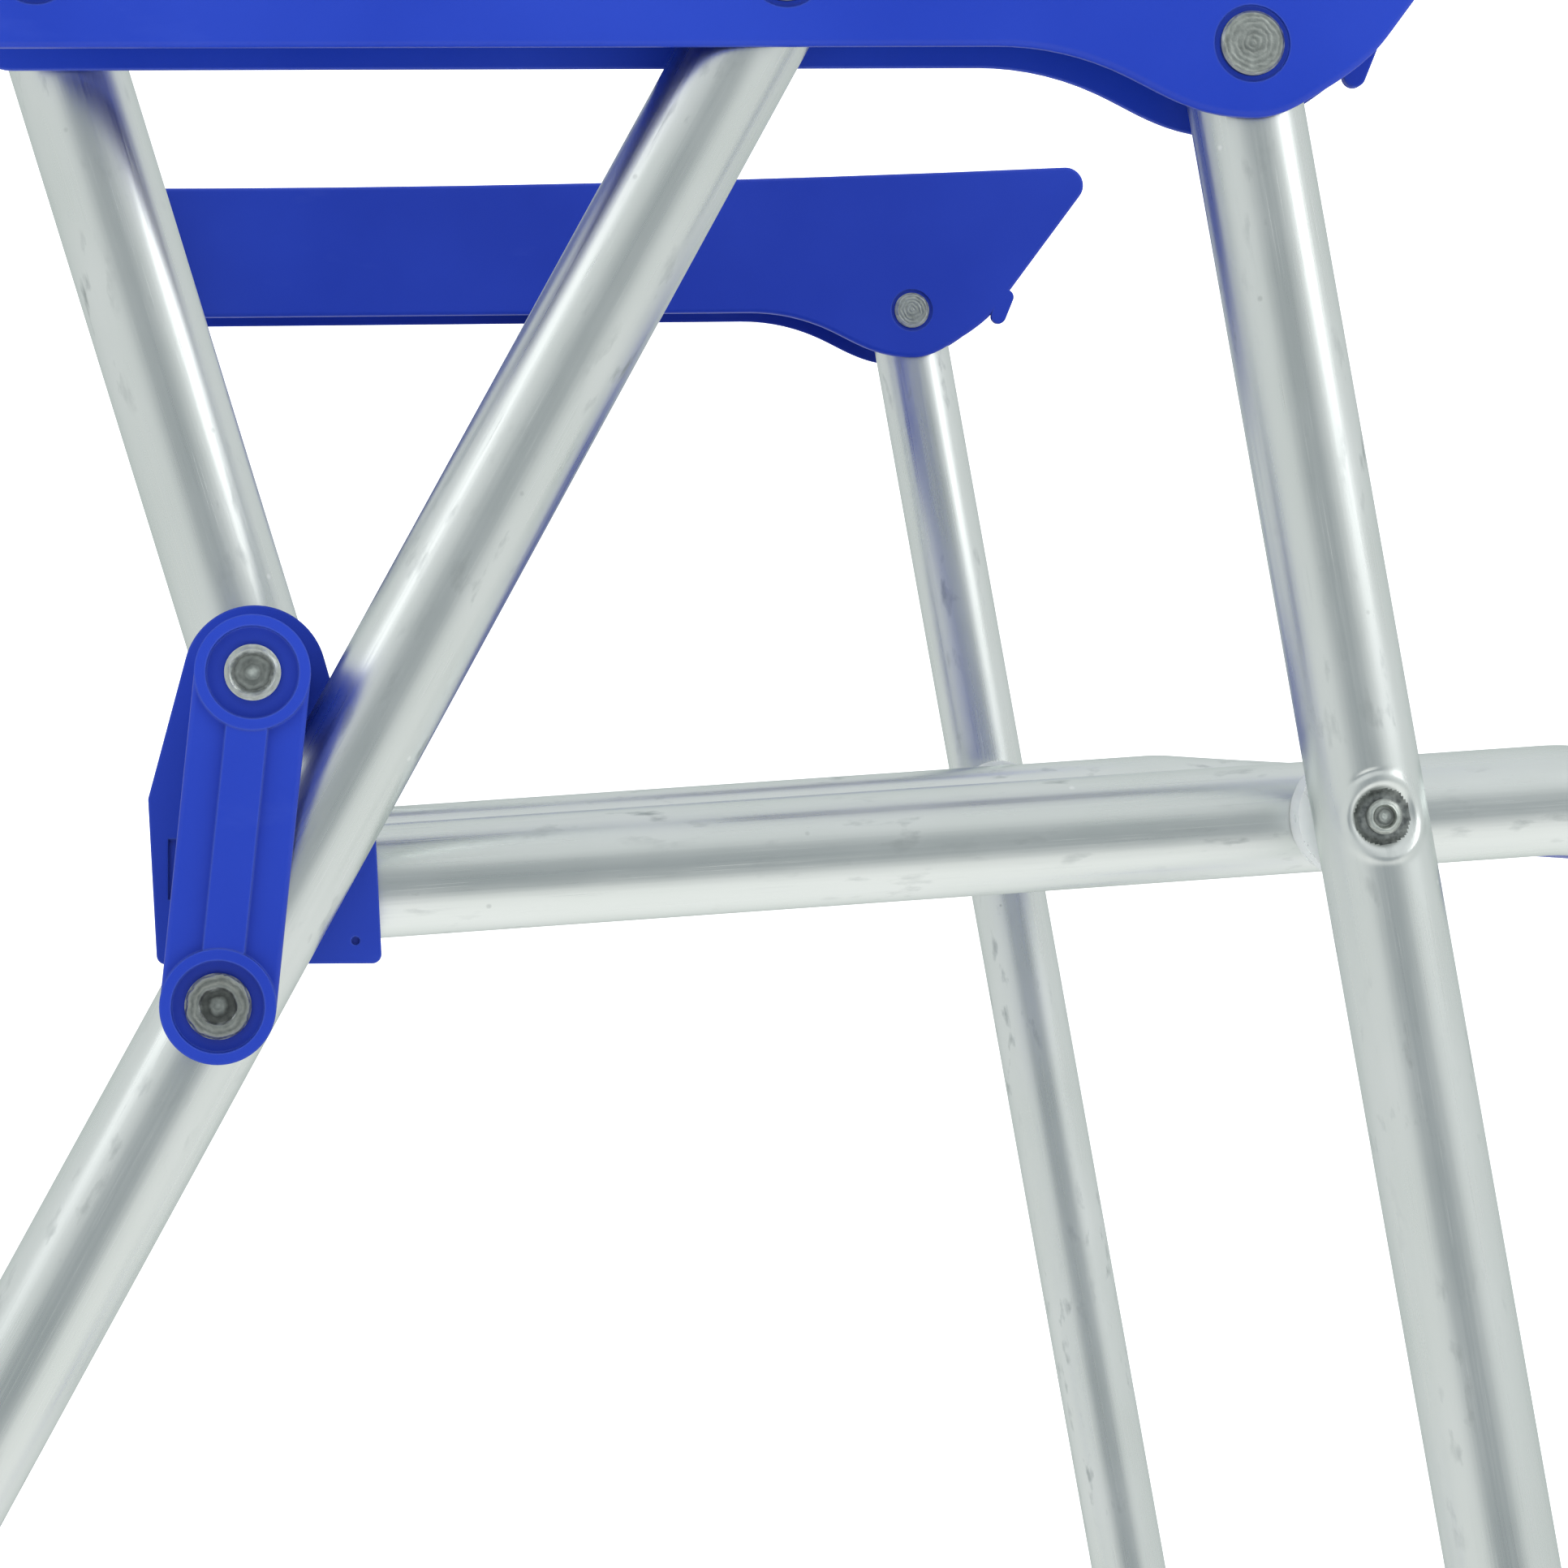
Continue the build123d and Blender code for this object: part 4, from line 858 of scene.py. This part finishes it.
def make_sling(name, low_node, high_bar, high_r, facing, body, cad_node, sag):
    """One panel with its sleeves, side hems and rows of stitches."""
    low_bar = middle_of(low_node)
    low_bar.y = 0.0
    box_low, box_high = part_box(cad_node)
    half = (box_high.y - box_low.y) / 2
    section, out = sling_section(low_bar, bar_r, high_bar, high_r, facing, sag)
    lengths = [0.0]
    for first, second in zip(section, section[1:]):
        lengths.append(lengths[-1] + (second - first).length)
    sleeve_len = lengths[sleeve_steps]
    panel_len = lengths[-1] - 2 * sleeve_len

    panel = bmesh.new()
    cut_piece = panel.loops.layers.uv.new("cut_piece")
    grid = []
    for point, length in zip(section, lengths):
        share = (length - sleeve_len) / panel_len
        row = []
        for c in range(cloth_columns + 1):
            across = 2 * c / cloth_columns - 1
            y = half * across * (1 - draw_in * slack_at(share))
            row.append(panel.verts.new(Vector((point.x, y, point.z)) + out * cloth_rise(across, share)))
        grid.append(row)
    for r in range(len(grid) - 1):
        for c in range(cloth_columns):
            corners = ((r, c), (r, c + 1), (r + 1, c + 1), (r + 1, c))
            face = panel.faces.new([grid[i][j] for i, j in corners])
            face.smooth = True
            for loop, (i, j) in zip(face.loops, corners):
                loop[cut_piece].uv = (lengths[i], 2 * half * j / cloth_columns)
    sling = finish_cloth(name, panel, sling_cloth, cloth_t, body)
    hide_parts(cad_node)

    hems = bmesh.new()
    hem_uv = hems.loops.layers.uv.new("cut_piece")
    strip_w = hem_width / hem_strips
    for side in sides.values():
        strips = []
        for r in range(sleeve_steps + 2, len(grid) - sleeve_steps - 2):
            share = (lengths[r] - sleeve_len) / panel_len
            strip = []
            for k in range(hem_strips + 1):
                y = side * (half * (1 - draw_in * slack_at(share)) - k * strip_w)
                rise = cloth_rise(y / half, share) + cloth_t * (1.0 if k < hem_strips else 0.55)
                strip.append(hems.verts.new(Vector((section[r].x, y, section[r].z)) + out * rise))
            strips.append((lengths[r], strip))
        for (u0, first), (u1, second) in zip(strips, strips[1:]):
            for k in range(hem_strips):
                face = hems.faces.new((first[k], first[k + 1], second[k + 1], second[k]))
                face.smooth = True
                for loop, (u, v) in zip(face.loops, ((u0, k), (u0, k + 1), (u1, k + 1), (u1, k))):
                    loop[hem_uv].uv = (u, strip_w * v)
    hem_piece = finish_cloth(name + "_hems", hems, sling_cloth, cloth_t * 0.8, body)

    stitches = bmesh.new()
    run = (section[sleeve_steps + 20] - section[sleeve_steps + 10]).normalized()
    high_start = len(grid) - sleeve_steps - 1
    for anchor, inward in ((sleeve_steps, 1), (high_start, -1)):
        for offset in row_offsets:
            dip = sag * slack_at(offset / panel_len)
            base = section[anchor] + run * inward * offset - out * dip
            for k in range(int((2 * half - 2 * row_end_gap) / stitch_pitch)):
                y = -half + row_end_gap + stitch_pitch * (k + 0.5)
                sew(stitches, Vector((base.x, y, base.z)) + out * cloth_t * 0.6, Vector((0, 1, 0)), out)
    for side in sides.values():
        for k in range(int((panel_len - 2 * side_row_gap) / stitch_pitch)):
            share = (side_row_gap + stitch_pitch * (k + 0.5)) / panel_len
            y = side * (half * (1 - draw_in * slack_at(share)) - side_row_inset)
            spot = section[sleeve_steps].lerp(section[high_start], share) - out * sag * slack_at(share)
            lift = cloth_rise(y / half, share) + cloth_t * 1.5
            sew(stitches, Vector((spot.x, y, spot.z)) + out * lift, run, out)
    stitch_piece = finish_cloth(name + "_stitches", stitches, thread_blue, 0.0, body)


back_top = Vector((back_low.x + tube_r, 0.0, back_high.z - tube_r))
back_run = Vector((arm_back.x - seat_hinge.x, 0.0, arm_back.z - seat_hinge.z)).normalized()
back_face = Vector((back_run.z, 0.0, -back_run.x))
back_sag, seat_sag = 0.004, 0.006
make_sling("back_panel", "back_low_bar", back_top, tube_r, back_face, "back_frame", "back_sling", back_sag)
sling_run = (seat_corner - middle_of("seat_rear_bar")).normalized()
seat_face = Vector((-sling_run.z, 0.0, sling_run.x))
make_sling("seat_panel", "seat_rear_bar", seat_corner, tube_r, seat_face, "seat", "seat_sling", seat_sag)
